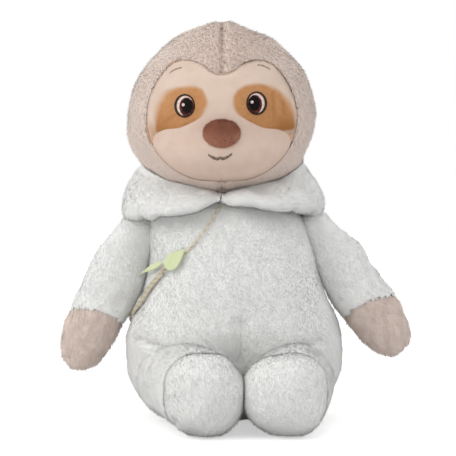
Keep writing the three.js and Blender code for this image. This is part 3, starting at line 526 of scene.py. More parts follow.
fabrics = {
    # each plush: tip colour, root colour (painted shade deep in the pile), mottle colour, clump and cloud
    # sizes
    "suitPile": plushPile("white_polyester_plush", "f0f0ee", "ebebe9", "ebeceb", 3.5, 22),
    "suitKnit": knitBacking("white_knitted_backing", "f0f0ee", "e8e8e6"),
    "headPile": plushPile("taupe_polyester_plush", "f2e6dd", "cdb3a7", "e4d3c9", 3.0, 16, sheen=0.3),
    "headKnit": knitBacking("taupe_knitted_backing", "e2d2c8", "d3c1b6"),
    "pawPile": plushPile("taupe_long_plush", "f0e1d8", "dac4b8", "dccac0", 3.6, 9, clumpDepth=0.8),
    "face": velboa("peach_velboa", "d3bfb0", "c9b3a3", tint="bf8b5e", tintDeep="966130"),
    "muzzle": velboa("peach_muzzle_velboa", "d2bcad", "c8afa0"),
    "nose": velboa("brown_velboa", "96624e", "80503f"),
    "nosePile": plushPile("brown_short_pile", "dca088", "8e5844", "b8806a", 1.6, 8, sheen=0.2),
    "blackThread": satinStitch("black_rayon_thread", "1f1a1a", "0b0808", 35),
    "whiteThread": satinStitch("white_rayon_thread", "e3cdc6", "d2bab3", 80),
    "brownThread": satinStitch("red_brown_rayon_thread", "5f3029", "421d18", 60, pupil="0c0505", gloss=0.1),
    "browThread": satinStitch("grey_brown_rayon_thread", "a08c80", "84705f", 20),
    "mouthThread": satinStitch("dark_brown_rayon_thread", "7d6c5e", "65564a", 15),
    "felt": pressedFelt("green_pressed_felt", "d6deb6", "c2cd9b"),
    "cordThread": wovenThread("tan_twisted_thread", "ddd0b6", "bfae8d", 0.8, "Z"),
    "tape": wovenThread("brown_woven_tape", "c2baa5", "b0a68f", 0.7, "Z"),
    "filling": knitBacking("white_polyester_fibre", "f4f4f2", "e6e6e4"),
    "sackcloth": wovenThread("undyed_cotton_sackcloth", "dedad2", "bdb8ac", 0.9, "X"),
}


# Pieces


def addPiece(name, points, faces, fabric, body, replaced, slot, fill=None):
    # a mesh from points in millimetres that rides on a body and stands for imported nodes
    mesh = bpy.data.meshes.new(name)
    mesh.vertices.add(len(points))
    mesh.vertices.foreach_set("co", (points * mm).astype(np.float32).ravel())
    loops = np.concatenate([group.ravel() for group in faces]).astype(np.int32)
    sizes = np.concatenate([np.full(len(group), group.shape[1]) for group in faces])
    mesh.loops.add(len(loops))
    mesh.loops.foreach_set("vertex_index", loops)
    mesh.polygons.add(len(sizes))
    mesh.polygons.foreach_set("loop_start", np.concatenate([[0], np.cumsum(sizes)[:-1]]).astype(np.int32))
    mesh.polygons.foreach_set("use_smooth", np.full(len(sizes), True))
    mesh.update(calc_edges=True)
    mesh.validate()
    mesh.materials.append(fabrics[fabric])
    item = newObject(name, mesh)
    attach(item, body)
    if replaced:
        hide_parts(*replaced)
    return item


def setValues(item, **values):
    # one number for each point, which the materials read
    for key, value in values.items():
        data = item.data.attributes.new(key, "FLOAT", "POINT").data
        data.foreach_set("value", value.astype(np.float32))


def thicken(item, points, faces, thickness):
    # cloth gets its real thickness on the inside; its cut edges are shaded as the rest, so seams stay soft
    modifier = item.modifiers.new("cloth", "SOLIDIFY")
    modifier.thickness, modifier.offset = thickness * mm, -1
    bpy.context.view_layer.objects.active = item
    with bpy.context.temp_override(object=item, active_object=item):
        bpy.ops.object.modifier_apply(modifier="cloth")
    normals = vertexNormals(points, faces)
    item.data.normals_split_custom_set_from_vertices(np.vstack([normals, -normals]))


def inset(points, faces, distance):
    return points - vertexNormals(points, faces) * distance


def groove(points, normals, line, depth, width):
    # sinks the skin along a line seen from the front, as a sewn seam or a fold does
    gap = lineDistance(points[:, [0, 2]], line)
    return points - normals * (depth * np.exp(-((gap / width) ** 2)))[:, None]


tuft = {
    "root": 0.5, "lowest": 0.3,  # how far each starts inside the backing, and its least height
    "stray": 0.3, "leanNoise": 0.11, "leanRange": (0.1, 1.2), "lengthWave": 0.1, "lengthNoise": 0.12,
    "widths": (0.75, 1.25), "quickSpacing": 1.7,
}
spikeFaces = np.array([[0, 1, 3], [1, 2, 3], [2, 0, 3]])


def combed(*direction):
    # pile combed one way all over
    return lambda root: np.repeat([direction], len(root), 0).astype(float)


def growPile(name, skin, pile, body, comb=combed(0, 0, -1), keep=None, brushed=None):
    # tufts all over a skin, each a three-sided spike that leans the way the pile is combed; normals that
    # are nearly the skin's own shade them as one soft surface
    points, faces = skin
    rng = np.random.default_rng(pile["seed"])
    normals = vertexNormals(points, faces)
    triangles = []
    for group in faces:
        triangles.append(group[:, :3])
        if group.shape[1] == 4:
            triangles.append(group[:, [0, 2, 3]])
    triangles = np.vstack(triangles)
    first, second, third = (points[triangles[:, k]] for k in range(3))
    area = np.linalg.norm(np.cross(second - first, third - first), axis=1) / 2
    spacing = pile["spacing"] * 1
    counts = np.floor(np.cumsum(area) / spacing**2).astype(int)
    chosen = np.repeat(np.arange(len(triangles)), np.diff(counts, prepend=0))
    a, b = rng.random((2, len(chosen)))
    flip = a + b > 1
    a[flip], b[flip] = 1 - a[flip], 1 - b[flip]
    shares = np.stack([1 - a - b, a, b], 1)[:, :, None]
    root = (points[triangles[chosen]] * shares).sum(1)
    out = unit((normals[triangles[chosen]] * shares).sum(1))
    if keep is not None:
        wanted = keep(root, out)
        root, out = root[wanted], out[wanted]
    count = len(root)
    towards = comb(root)
    towards = unit(towards - (towards * out).sum(1, keepdims=True) * out)
    swirl = pile["turn"] * ripple(root, pile["swirl"], pile["seed"]) + rng.normal(0, tuft["stray"], count)
    towards = towards * np.cos(swirl)[:, None] + np.cross(out, towards) * np.sin(swirl)[:, None]
    uneven = 1 + pile["uneven"] * ripple(root, pile["clump"], pile["seed"] + 1)
    uneven = np.clip(uneven + rng.normal(0, tuft["leanNoise"], count), *tuft["leanRange"])
    lean = np.radians(pile["lean"]) * uneven
    wave = 1 + tuft["lengthWave"] * ripple(root, pile["clump"], pile["seed"] + 2)
    length = pile["length"] * (wave + rng.normal(0, tuft["lengthNoise"], count))
    heading = out * np.cos(lean)[:, None] + towards * np.sin(lean)[:, None]
    tip = root + heading * length[:, None]
    across = unit(np.cross(out, towards))
    phase = rng.uniform(0, 2 * math.pi, count)
    width = pile["width"] / 2 * rng.uniform(*tuft["widths"], count)
    start = root - out * tuft["root"]
    corners = []
    for side in range(3):
        angle = phase + side * 2 * math.pi / 3
        spoke = towards * np.cos(angle)[:, None] + across * np.sin(angle)[:, None]
        corners.append(start + spoke * width[:, None])
    tufts = np.stack([*corners, tip], 1)
    soft = unit(tufts - start[:, None])
    soft = unit(soft * (1 - pile["softness"]) + out[:, None] * pile["softness"])
    tufts[:, :, 2] = np.maximum(tufts[:, :, 2], tuft["lowest"])
    faces = (np.arange(count)[:, None, None] * 4 + spikeFaces).reshape(-1, 3)
    item = addPiece(name, tufts.reshape(-1, 3), [faces], pile["fibre"], body, (), pile["slot"])
    # along runs from 0 at the root to 1 at the tip; the pile's material paints shade towards the root
    setValues(
        item,
        along=np.tile([0, 0, 0, 1], count),
        tuft=np.repeat(rng.random(count), 4),
        brushed=np.repeat(brushed(root) if brushed else np.zeros(count), 4),
    )
    item.data.normals_split_custom_set_from_vertices(soft.reshape(-1, 3))
    print(f"{name}: {count} tufts")


def sew(name, node, skin, pile, seed, body, fill, thick=True, grown=None, **hair):
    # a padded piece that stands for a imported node: its cloth, and the pile that grows on it
    cloth = addPiece(f"{name}_cloth", *skin, pile["backing"], body, [node], pile["slot"], fill)
    if thick:
        thicken(cloth, *skin, clothThickness)
    growPile(f"{name}_pile", (skin[0], grown or skin[1]), dict(pile, seed=seed), body, **hair)


# Suit body's shape, which also carries the sash

torso = {
    "height": 204, "halfWidth": 97, "front": 70, "back": 70, "seatX": 2, "squareness": 2.2,
    "around": 144, "rows": 84, "crowding": 0.6, "seamY": 8, "lump": 0.9, "lumpSize": 46,
    "pileTop": 201, "seatPile": 6, "underside": -0.75,  # no pile in the neck's seam, nor under the seat
}
torsoShares = [
    [0, 0.68, 0.5, 0.72, 0],
    [0.035, 0.8, 0.6, 0.84, 0],
    [0.11, 0.92, 0.72, 0.94, 0],
    [0.22, 1.005, 0.84, 1, 0],
    [0.34, 1.01, 0.95, 1, 0],
    [0.42, 0.97, 1, 0.98, 0],
    [0.53, 0.87, 1, 0.94, 0.02],
    [0.69, 0.79, 0.94, 0.86, 0.15],
    [0.83, 0.75, 0.85, 0.76, 0.45],
    [0.92, 0.665, 0.72, 0.66, 0.8],
    [1, 0.37, 0.46, 0.46, 1],
]


def torsoPart(z, linearly=False):
    # middle, half width, front and back depth at heights
    share = np.clip(np.atleast_1d(z) / torso["height"], 0, 1)
    rows = np.array(torsoShares)
    if linearly:
        table = np.stack([np.interp(share, rows[:, 0], rows[:, k]) for k in range(1, 5)], 1)
    else:
        table = smoothTable(torsoShares, share)
    halfWidth, front, back, lean = table.T
    middle = torso["seatX"] + (neckX - torso["seatX"]) * lean
    return middle, halfWidth * torso["halfWidth"], front * torso["front"], back * torso["back"]


# Leaf sash: twisted thread from the neck to the knot, woven tape round the side, two felt leaves

sash = {
    "cordDiameter": 1.6, "cordLift": 1.3, "plies": (0.72, 0.28),  # shares of its waist and of its swelling
    "twist": 4.5,  # the plies turn once in this length
    "tapeWidth": 5, "tapeThickness": 1.4, "tapeLift": 1.3, "tapeCorners": (0.35, 0.7),
}
knot = {
    "x": -57, "z": 137, "halfLength": 4.2, "radius": 2.1, "lift": 0.5, "ridge": 0.09, "windings": 7,
    "slant": 0.4, "fullness": 2.6, "rest": 0.97,
}
cordRouteShares = [[0, 0.955], [-0.05, 0.91], [-0.16, 0.83], [-0.28, 0.76], [-0.43, 0.7]]
tapeRouteShares = [
    [0.655, 53],
    [0.6, 62],
    [0.54, 71],
    [0.475, 81],
    [0.43, 94],
    [0.41, 110],
    [0.45, 130],
    [0.55, 146],
    [0.68, 160],
    [0.85, 172],
]
leaf = {
    "thickness": 2, "rest": 0.1, "step": 0.55, "vein": 0.5, "veinWidth": 0.7,
    "cup": 0.9, "cupShare": 0.35, "cupSlack": 0.2, "curl": 0.7, "curlShare": 0.1,
    "edge": (-0.3, 1.4),  # over this distance from its edge it rounds off
}
leafSizes = {
    "large": {"baseX": -54.6, "baseZ": 137.6, "tipX": -38.8, "tipZ": 154.6, "halfWidth": 6.9, "lift": 4.2},
    "small": {"baseX": -57, "baseZ": 142.6, "tipX": -76.5, "tipZ": 130.2, "halfWidth": 2.7, "lift": 4.6},
}
leafShares = [[0, 0.2], [0.06, 0.66], [0.3, 1], [0.55, 0.86], [0.8, 0.46], [1, 0]]


def outOfTorso(point):
    middle, halfWidth, front, back = torsoPart(point[2], True)
    depth = front[0] if point[1] < 0 else back[0]
    return unit(np.array([(point[0] - middle[0]) / halfWidth[0] ** 2, point[1] / depth**2, 0]))


def overFront(x, z, lift):
    middle, halfWidth, front, _ = torsoPart(z, True)
    share = min(1, abs(x - middle[0]) / halfWidth[0])
    power = torso["squareness"]
    point = np.array([x, -front[0] * (1 - share**power) ** (1 / power), z])
    return point + outOfTorso(point) * lift


def torsoPoint(z, angle, lift):
    middle, halfWidth, front, back = torsoPart(z, True)
    depth = front[0] if math.cos(angle) > 0 else back[0]
    power = torso["squareness"]
    total = abs(math.sin(angle) / halfWidth[0]) ** power + abs(math.cos(angle) / depth) ** power
    reach = total ** (-1 / power) + lift
    return np.array([middle[0] - math.sin(angle) * reach, -math.cos(angle) * reach, z])


def strand(path, section, twist=0):
    # sweeps a section, points of (across, out), along a path over the torso
    tangent = unit(np.gradient(path, axis=0))
    out = np.array([outOfTorso(p) for p in path])
    out = unit(out - (out * tangent).sum(1, keepdims=True) * tangent)
    across = np.cross(out, tangent)
    run = np.concatenate([[0], np.cumsum(np.linalg.norm(np.diff(path, axis=0), axis=1))])
    rings = []
    for place, a, o, distance in zip(path, across, out, run):
        turn = twist * distance
        u = section[:, 0] * math.cos(turn) - section[:, 1] * math.sin(turn)
        w = section[:, 0] * math.sin(turn) + section[:, 1] * math.cos(turn)
        rings.append(place + u[:, None] * a + w[:, None] * o)
    rings = np.array(rings)[:, ::-1]
    return *loft(rings, path[0], path[-1]), float(run[-1])


def makeThread():
    route = [
        overFront(neckX + across * torso["halfWidth"], rise * torso["height"], sash["cordLift"])
        for across, rise in cordRouteShares
    ]
    path = roundCurve(route, 420, closed=False)
    angle = circle(20)
    waist, swelling = sash["plies"]
    radius = sash["cordDiameter"] / 2 * (waist + swelling * np.abs(np.cos(angle)))
    # two plies side by side, then twisted
    ply = np.stack([radius * np.cos(angle), radius * np.sin(angle)], 1)
    points, faces, length = strand(path, ply, twist=2 * math.pi / sash["twist"])
    thread = addPiece("sash_thread", points, faces, "cordThread", "torso", ["sash_cord"], "tan_cord")
    makeKnot()


def makeTape():
    route = [torsoPoint(h * torso["height"], math.radians(a), sash["tapeLift"]) for h, a in tapeRouteShares]
    path = roundCurve(route, 300, closed=False)
    corner = np.radians(np.arange(24) * 15)
    wideways, thickways = sash["tapeCorners"]
    across = signedPower(np.cos(corner), wideways) * sash["tapeWidth"] / 2
    thick = signedPower(np.sin(corner), thickways) * sash["tapeThickness"] / 2
    points, faces, length = strand(path, np.stack([across, thick], 1))
    tape = addPiece("sash_tape", points, faces, "tape", "torso", ["sash_ribbon"], "brown_ribbon")
    print(f"sash: tape {length:.0f} mm")


def makeKnot():
    # tape wound round the stalks, so its turns stand up as ridges
    centre = overFront(knot["x"], knot["z"], knot["radius"] + knot["lift"])
    large, small = leafSizes["large"], leafSizes["small"]
    tilt = math.atan2(large["tipZ"] - small["tipZ"], large["tipX"] - small["tipX"])
    along = np.array([math.cos(tilt), 0, math.sin(tilt)])
    out = outOfTorso(centre)
    out = unit(out - out @ along * along)
    across = np.cross(along, out)
    share = np.linspace(-1, 1, 60)[1:-1]
    angle = circle(48)
    winding = share[:, None] * knot["windings"] + knot["slant"] * np.cos(angle)[None]
    ridge = 1 + knot["ridge"] * np.abs(np.sin(winding))
    taper = np.sqrt(1 - np.abs(share) ** knot["fullness"])
    size = knot["radius"] * taper[:, None] * ridge * knot["rest"]
    spokes = np.cos(angle)[:, None] * across + np.sin(angle)[:, None] * out
    rings = centre + share[:, None, None] * knot["halfLength"] * along + size[:, :, None] * spokes
    points, faces = loft(rings, rings[0].mean(0), rings[-1].mean(0))
    return addPiece("sash_knot", points, faces, "tape", "torso", ["leaf_knot"], "brown_ribbon")


def makeLeaf(name, values):
    start = overFront(values["baseX"], values["baseZ"], values["lift"])
    tip = overFront(values["tipX"], values["tipZ"], values["lift"])
    length = np.linalg.norm(tip - start)
    along = unit(tip - start)
    out = outOfTorso((start + tip) / 2)
    out = unit(out - out @ along * along)
    across = np.cross(out, along)
    rows = np.array(leafShares)
    edge = np.stack([rows[:, 0] * length, rows[:, 1] * values["halfWidth"]], 1)
    outline = roundCurve(np.vstack([edge, (edge[:-1] * [1, -1])[::-1]]), 120)
    half = leaf["thickness"] / 2 - leaf["rest"]

    def place(u, v, lift):
        vein = leaf["vein"] * np.exp(-((v / leaf["veinWidth"]) ** 2))
        cup = leaf["cup"] * (v / values["halfWidth"]) ** 2 - vein * np.sign(lift)
        curl = leaf["curl"] * np.sin(u / length * math.pi)
        bent = leaf["cupShare"] * cup * (half - leaf["cupSlack"]) + leaf["curlShare"] * curl
        rise = half + np.clip(lift, -half, half) + bent
        return start + u[:, None] * along + v[:, None] * across + rise[:, None] * out

    top = lambda flat, reach: half * np.sqrt(fade(reach, *leaf["edge"]))
    bottom = lambda flat, reach: -top(flat, reach)
    points, faces = cutPad([outline], leaf["step"], place, top, bottom)
    addPiece(f"felt_leaf_{name}", points, faces, "felt", f"{name}_leaf", [f"leaf_{name}"], "green_felt")


makeThread()
makeTape()
for name, values in leafSizes.items():
    makeLeaf(name, values)
print("sash made")

# Suit body's cloth and pile

suitPile = {
    "backing": "suitKnit", "fibre": "suitPile", "slot": "white_plush",
    "length": 3.3, "width": 0.64, "lean": 68, "spacing": 1.25,
    "swirl": 30, "turn": 0.35, "clump": 9, "uneven": 0.08, "softness": 0.97,
}
suitFolds = {
    "crotch": {"line": [(7, 90), (6.5, 76), (6, 58)], "depth": 4.5, "width": 6},
    "hipRight": {"line": [(-84, 72), (-70, 69), (-58, 65), (-41, 62)], "depth": 4.5, "width": 4},
    "hipLeft": {"line": [(48, 66), (62, 70), (78, 72)], "depth": 3.5, "width": 4},
}


def grownOnSuit(root, out):
    under = (out[:, 2] <= torso["underside"]) & (root[:, 2] <= torso["seatPile"])
    return (root[:, 2] < torso["pileTop"]) & ~under


def makeSuitBody():
    heights = crowded(torso["rows"], torso["crowding"]) * torso["height"]
    middle, halfWidth, front, back = torsoPart(heights)
    centres = np.stack([middle, np.zeros_like(middle)], 1)
    rings = levelRings(heights, centres, halfWidth, front, back, torso["squareness"], torso["around"])
    points, faces = loft(rings, np.append(centres[0], 0), np.append(centres[-1], torso["height"]))
    points = inset(points, faces, clothRest)
    normals = vertexNormals(points, faces)
    points = points + normals * lumps(points, torso, 5)[:, None]
    ahead = points[:, 1] < -20
    for fold in suitFolds.values():
        sunk = groove(points, normals, fold["line"], fold["depth"], fold["width"])
        points = np.where(ahead[:, None], sunk, points)
    points[:, 2] = np.maximum(points[:, 2], groundGap)
    for part, seed, wanted in (
        ("front", 1, lambda p: p[:, 1] < torso["seamY"]),
        ("back", 2, lambda p: p[:, 1] >= torso["seamY"]),
    ):
        skin = keepFaces(points, faces, wanted)
        sew(f"suit_{part}", f"torso_{part}", skin, suitPile, seed, "torso", fill=0.8, keep=grownOnSuit)


makeSuitBody()
print("suit body made")

# Arms: sleeves with long-piled paws

arm = {
    "length": {"left": 134, "right": 140.5}, "splay": {"left": 33, "right": 25.5},
    "radius": 25, "flatness": 0.9, "shoulderX": 82, "shoulderZ": 169, "around": 72, "rows": 60,
    "swell": {"left": 3.5, "right": 7.5},  # how far the upper sleeve swells outwards
    "swellAt": 0.26, "swellWidth": 0.13,
    "shoulder": {"left": 7, "right": 1},  # how far the shoulder's outer side is drawn in
    "lump": 0.8, "lumpSize": 30, "fineLump": 0.5, "fineLumpSize": 13, "fineLumpFrom": (0.1, 0.5),
    "cuff": 0.565, "cuffArch": 0.05, "cuffTilt": 0.03, "overlap": 0.03,
    "tuck": 1.6, "tuckFade": (-0.02, 0.06),  # the paw's end lies this far inside the sleeve
}
armShares = [
    [0, 0.74],
    [0.2, 0.82],
    [0.35, 0.9],
    [0.48, 0.98],
    [0.58, 1],
    [0.7, 0.96],
    [0.81, 0.9],
    [0.9, 0.77],
    [0.96, 0.55],
    [1, 0.06],
]
# how far the arm's inner side swells towards the body
armInner = [[0, 4], [0.35, 6.5], [0.48, 6], [0.6, 1], [0.7, 2], [0.8, 3.5], [0.92, 3], [1, 0]]
pawPile = {
    "backing": "headKnit", "fibre": "pawPile", "slot": "taupe_plush",
    "length": 4.2, "width": 0.9, "lean": 68, "spacing": 1.45,
    "swirl": 13, "turn": 0.6, "clump": 6, "uneven": 0.12, "softness": 0.97,
}


def makeArm(name, sign):
    splay = math.radians(arm["splay"][name])
    middle = torsoPart(arm["shoulderZ"], True)[0][0]
    start = np.array([middle + sign * arm["shoulderX"], 0, arm["shoulderZ"]])
    axis = np.array([sign * math.sin(splay), 0, -math.cos(splay)])
    length = arm["length"][name]
    end = start + axis * length
    points, faces = limb(start, end, armShares, arm["radius"], arm["flatness"], arm["around"], arm["rows"])
    points = inset(points, faces, clothRest)
    normals = vertexNormals(points, faces)
    share = lambda p: (p - start) @ axis / length
    along = share(points)
    fine = lumps(points, arm, 35 + sign, "fineLump") * fade(along, *arm["fineLumpFrom"])
    lump = lumps(points, arm, 31 + sign) + fine
    points = points + normals * lump[:, None]
    inner = smoothTable(armInner, along)[:, 0]
    outer = arm["swell"][name] * np.exp(-(((along - arm["swellAt"]) / arm["swellWidth"]) ** 2))
    outer = outer - arm["shoulder"][name] * (1 - fade(along, 0, 0.2))
    points[:, 0] -= sign * inner * np.clip(-sign * normals[:, 0], 0, 1)
    points[:, 0] += sign * outer * np.clip(sign * normals[:, 0], 0, 1)
    side = np.array([sign * math.cos(splay), 0, math.sin(splay)])

    def pastCuff(p):
        # share of the length beyond the sleeve's end, which arches upwards in front
        across = (p - start) @ side / arm["radius"]
        return share(p) - arm["cuff"] - arm["cuffArch"] * across**2 - arm["cuffTilt"] * across

    sleeve = keepFaces(points, faces, lambda p: pastCuff(p) < 0)
    points, faces = keepFaces(points, faces, lambda p: pastCuff(p) >= -arm["overlap"])
    tuck = arm["tuck"] * (1 - fade(pastCuff(points), *arm["tuckFade"]))
    paw = points - vertexNormals(points, faces) * tuck[:, None], faces
    for piece, skin, pile, seed in (("sleeve", sleeve, suitPile, 41), ("paw", paw, pawPile, 51)):
        part = f"{piece}_{name}"
        sew(part, part, skin, pile, seed + sign, f"{name}_arm", fill=0.6, comb=combed(*axis))


for name, sign in sides.items():
    makeArm(name, sign)
print("arms made")

# Legs and feet

leg = {
    "y": -26, "z": 38, "left": 54, "right": -47, "radius": 38, "around": 80, "rows": 36,
    "lump": 0.8, "lumpSize": 34,
}
legShares = [[0, 1], [0.3, 0.98], [0.6, 0.96], [0.85, 0.93], [1, 0.88]]
foot = {
    "y": -105, "z": 35, "left": 47.5, "right": -24.5, "halfWidth": 35, "depth": 33, "halfHeight": 36.7,
    "around": 96, "bands": 64, "fullness": 2.15, "lump": 0.9, "lumpSize": 32,
    "meetX": 10, "meetGap": 0.6,
    "press": {"left": 6, "right": 3},  # how far each swells to where they meet
}
pucker = {"x": -24, "z": -22, "halfWidth": 3.2, "halfHeight": 5.0, "depth": 2.6}
# the leg's cloth nears the foot from one distance behind its middle to another, to shares of its size
drawnIn = {"from": 12, "to": 2, "aim": 1.01, "closer": 0.1, "inside": 0.91, "insideFrom": 0.5}
legPile = {"above": 1.3, "legFrom": 4, "footTo": 11, "spread": 20, "forward": 0.3}


def keepClear(points, sign):
    # neither leg passes the other, nor the floor
    points[:, 0] = sign * np.maximum(sign * points[:, 0], sign * foot["meetX"] + foot["meetGap"])
    points[:, 2] = np.maximum(points[:, 2], groundGap)


def makeFootSkin(name, sign, end):
    points, faces = ovalSkin(end, foot)
    points = inset(points, faces, clothRest)
    normals = vertexNormals(points, faces)
    points = points + normals * lumps(points, foot, 65 + sign)[:, None]
    points[:, 0] -= sign * foot["press"][name] * np.clip(-sign * normals[:, 0], 0, 1) ** 2
    points[:, 0] = sign * np.maximum(sign * points[:, 0], sign * foot["meetX"] + foot["meetGap"])
    if sign < 0:  # the closing seam puckers the right foot low on its outside
        place = end + np.array([pucker["x"], 0, pucker["z"]])
        offset = (points - place)[:, [0, 2]] / [pucker["halfWidth"], pucker["halfHeight"]]
        gap = np.linalg.norm(offset, axis=1)
        points = points - normals * (pucker["depth"] * np.exp(-(gap**2)) * (points[:, 1] < end[1]))[:, None]
    points[:, 2] = np.maximum(points[:, 2], groundGap)
    return points, faces


def makeLegSkin(sign, start, end):
    points, faces = limb(start, end, legShares, leg["radius"], 1, leg["around"], leg["rows"])
    points = inset(points, faces, clothRest)
    points = points + vertexNormals(points, faces) * lumps(points, leg, 61 + sign)[:, None]
    points[:, 2] = np.maximum(points[:, 2], groundGap)
    # the leg's cloth is drawn over the back of the foot and then dives into it, so that the two run together
    halves = [foot["halfWidth"] - clothRest, foot["depth"], foot["halfHeight"] - clothRest]
    size = ((np.abs(points - end) / halves) ** foot["fullness"]).sum(1) ** (1 / foot["fullness"])
    near = 1 - fade(points[:, 1], end[1] + drawnIn["to"], end[1] + drawnIn["from"])
    aim = drawnIn["aim"] - drawnIn["closer"] * near
    wanted = near * aim + (1 - near) * np.maximum(size, aim)
    beyond = points[:, 1] < end[1] + drawnIn["insideFrom"]
    wanted = np.where(beyond, np.minimum(size, drawnIn["inside"]), wanted)
    drawn = end + (points - end) * (wanted / np.maximum(size, 0.3))[:, None]
    keepClear(drawn, sign)
    return drawn, faces


def makeLeg(name, sign):
    start = np.array([leg[name], leg["y"], leg["z"]], float)
    end = np.array([foot[name], foot["y"], foot["z"]], float)

    def aside(root):
        # outwards and down from the leg's middle line
        middle = np.interp(root[:, 1], [end[1], start[1]], [end[0], start[0]])
        outwards = (root[:, 0] - middle) / legPile["spread"]
        return np.stack([outwards, 0 * middle - legPile["forward"], 0 * middle - 1], 1)

    above = lambda root: root[:, 2] > legPile["above"]
    onLeg = lambda root, out: (root[:, 1] > end[1] + legPile["legFrom"]) & above(root)
    onFoot = lambda root, out: (root[:, 1] < end[1] + legPile["footTo"]) & above(root)
    for piece, skin, seed, comb, keep in (
        ("leg", makeLegSkin(sign, start, end), 71, aside, onLeg),
        ("foot", makeFootSkin(name, sign, end), 75, combed(0, -0.7, -1), onFoot),
    ):
        part = f"{piece}_{name}"
        sew(part, part, skin, suitPile, seed + sign, f"{name}_leg", fill=0.8, comb=comb, keep=keep)


for name, sign in sides.items():
    makeLeg(name, sign)
print("legs and feet made")

# Head fur

head = {
    "bottom": 198, "height": 159, "halfWidth": 84, "front": 66, "back": 67, "y": -4, "squareness": 2.1,
    "around": 160, "rows": 96, "crowding": 0.55, "lump": 0.8, "lumpSize": 42,
    "seamDepth": 2.6, "seamWidth": 3.2, "turn": math.radians(30),
    "ahead": -20, "rimAhead": -10, "rimAbove": 205, "pileAbove": 203,
}
headShares = [
    [0, 0.26, 0.46, 0.3],
    [0.057, 0.55, 0.72, 0.56],
    [0.126, 0.75, 0.87, 0.77],
    [0.208, 0.89, 0.95, 0.9],
    [0.289, 0.965, 0.99, 0.97],
    [0.377, 1, 1, 1],
    [0.459, 1, 1, 1],
    [0.572, 0.955, 0.96, 0.98],
    [0.66, 0.895, 0.9, 0.94],
    [0.73, 0.825, 0.82, 0.88],
    [0.8, 0.71, 0.7, 0.77],
    [0.881, 0.54, 0.53, 0.58],
    [0.937, 0.34, 0.34, 0.36],
    [0.975, 0.16, 0.16, 0.17],
    [1, 0.01, 0.01, 0.01],
]
# how much fuller the left side is
headFuller = [[0.16, 0], [0.26, -3.2], [0.4, -0.6], [0.54, 2.2], [0.74, 2.8], [0.9, 1], [0.97, 0]]
headPile = {
    "backing": "headKnit", "fibre": "headPile", "slot": "taupe_plush",
    "length": 3.6, "width": 0.66, "lean": 64, "spacing": 1.2,
    "swirl": 26, "turn": 0.35, "clump": 6, "uneven": 0.06, "softness": 0.97,
}
headComb = {"outwards": 0.018, "down": 0.8, "inwards": 0.9, "reach": (2, 6), "heights": (225, 265)}
# over the brow the pile was stroked upwards; there it takes its root colour, painted shade where the nap
# turns from the light
browBrushShade = {"x": 7, "share": 0.95, "front": (5, 35), "across": (10, 44), "heights": (296, 316)}

faceOpening = {"halfWidth": 67, "halfHeight": 56, "z": 266}
faceOutlineShares = [
    [0, 0.7],
    [0.14, 0.75],
    [0.26, 0.87],
    [0.44, 0.94],
    [0.62, 0.9],
    [0.8, 0.7],
    [0.94, 0.38],
    [0.985, 0],
    [0.94, -0.28],
    [0.86, -0.48],
    [0.72, -0.68],
    [0.56, -0.82],
    [0.34, -0.92],
    [0.12, -0.945],
]


def mirrored(rows, toPlace):
    # half an outline and its mirror image round the middle of the face
    half = np.array([toPlace(*row) for row in rows], float)
    return half + [neckX, 0], half * [-1, 1] + [neckX, 0]


def faceOutline(margin):
    left, right = mirrored(
        faceOutlineShares,
        lambda x, z: (
            x * (faceOpening["halfWidth"] - margin),
            faceOpening["z"] + z * (faceOpening["halfHeight"] - margin),
        ),
    )
    return roundCurve(np.vstack([left, right[1:][::-1]]), 220)


def headReach(z, angle):
    # how far the head reaches from its axis at heights, within its turn of an angle from straight ahead
    share = np.clip((z - head["bottom"]) / head["height"], 0, 1)
    table = smoothTable(headShares, share)
    turned = np.minimum(angle + head["turn"], math.pi / 2)
    across = np.sin(turned) / (table[:, 0] * head["halfWidth"] + 0.1)
    deep = np.cos(turned) / (table[:, 1] * head["front"] + 0.1)
    return 1 / np.sqrt(across**2 + deep**2)


def fullerSide(x, z):
    # how much further out the head's left side stands
    fuller = smoothTable(headFuller, (z - head["bottom"]) / head["height"])[:, 0]
    return fuller * np.clip((x - neckX) / head["halfWidth"], 0, 1)


def headSkin(outline):
    share = crowded(head["rows"], head["crowding"])
    table = smoothTable(headShares, share)
    heights = head["bottom"] + share * head["height"]
    centres = np.repeat([[neckX, head["y"]]], len(heights), 0).astype(float)
    sizes = [table[:-1, 0] * head["halfWidth"], table[:-1, 1] * head["front"], table[:-1, 2] * head["back"]]
    rings = levelRings(heights[:-1], centres[:-1], *sizes, head["squareness"], head["around"])
    points, faces = loft(rings, np.append(centres[0], heights[0]), np.append(centres[0], heights[-1]))
    points = inset(points, faces, clothRest)
    normals = vertexNormals(points, faces)
    lump = lumps(points, head, 83)
    seam = head["seamDepth"] * np.exp(-((np.abs(points[:, 0] - neckX) / head["seamWidth"]) ** 2))
    points = points + normals * (lump - seam)[:, None]
    points[:, 0] += fullerSide(points[:, 0], points[:, 2])
    hidden = lambda p: inOutline(p[:, [0, 2]], outline) & (p[:, 1] < head["ahead"])
    points, faces = keepFaces(points, faces, lambda p: ~hidden(p))
    edge = borderOf(faces)
    edge = edge[(points[edge, 1] < head["rimAhead"]) & (points[edge, 2] > head["rimAbove"])]
    points[edge[:, None], [0, 2]] = snapped(points[edge][:, [0, 2]], [outline])
    return points, faces


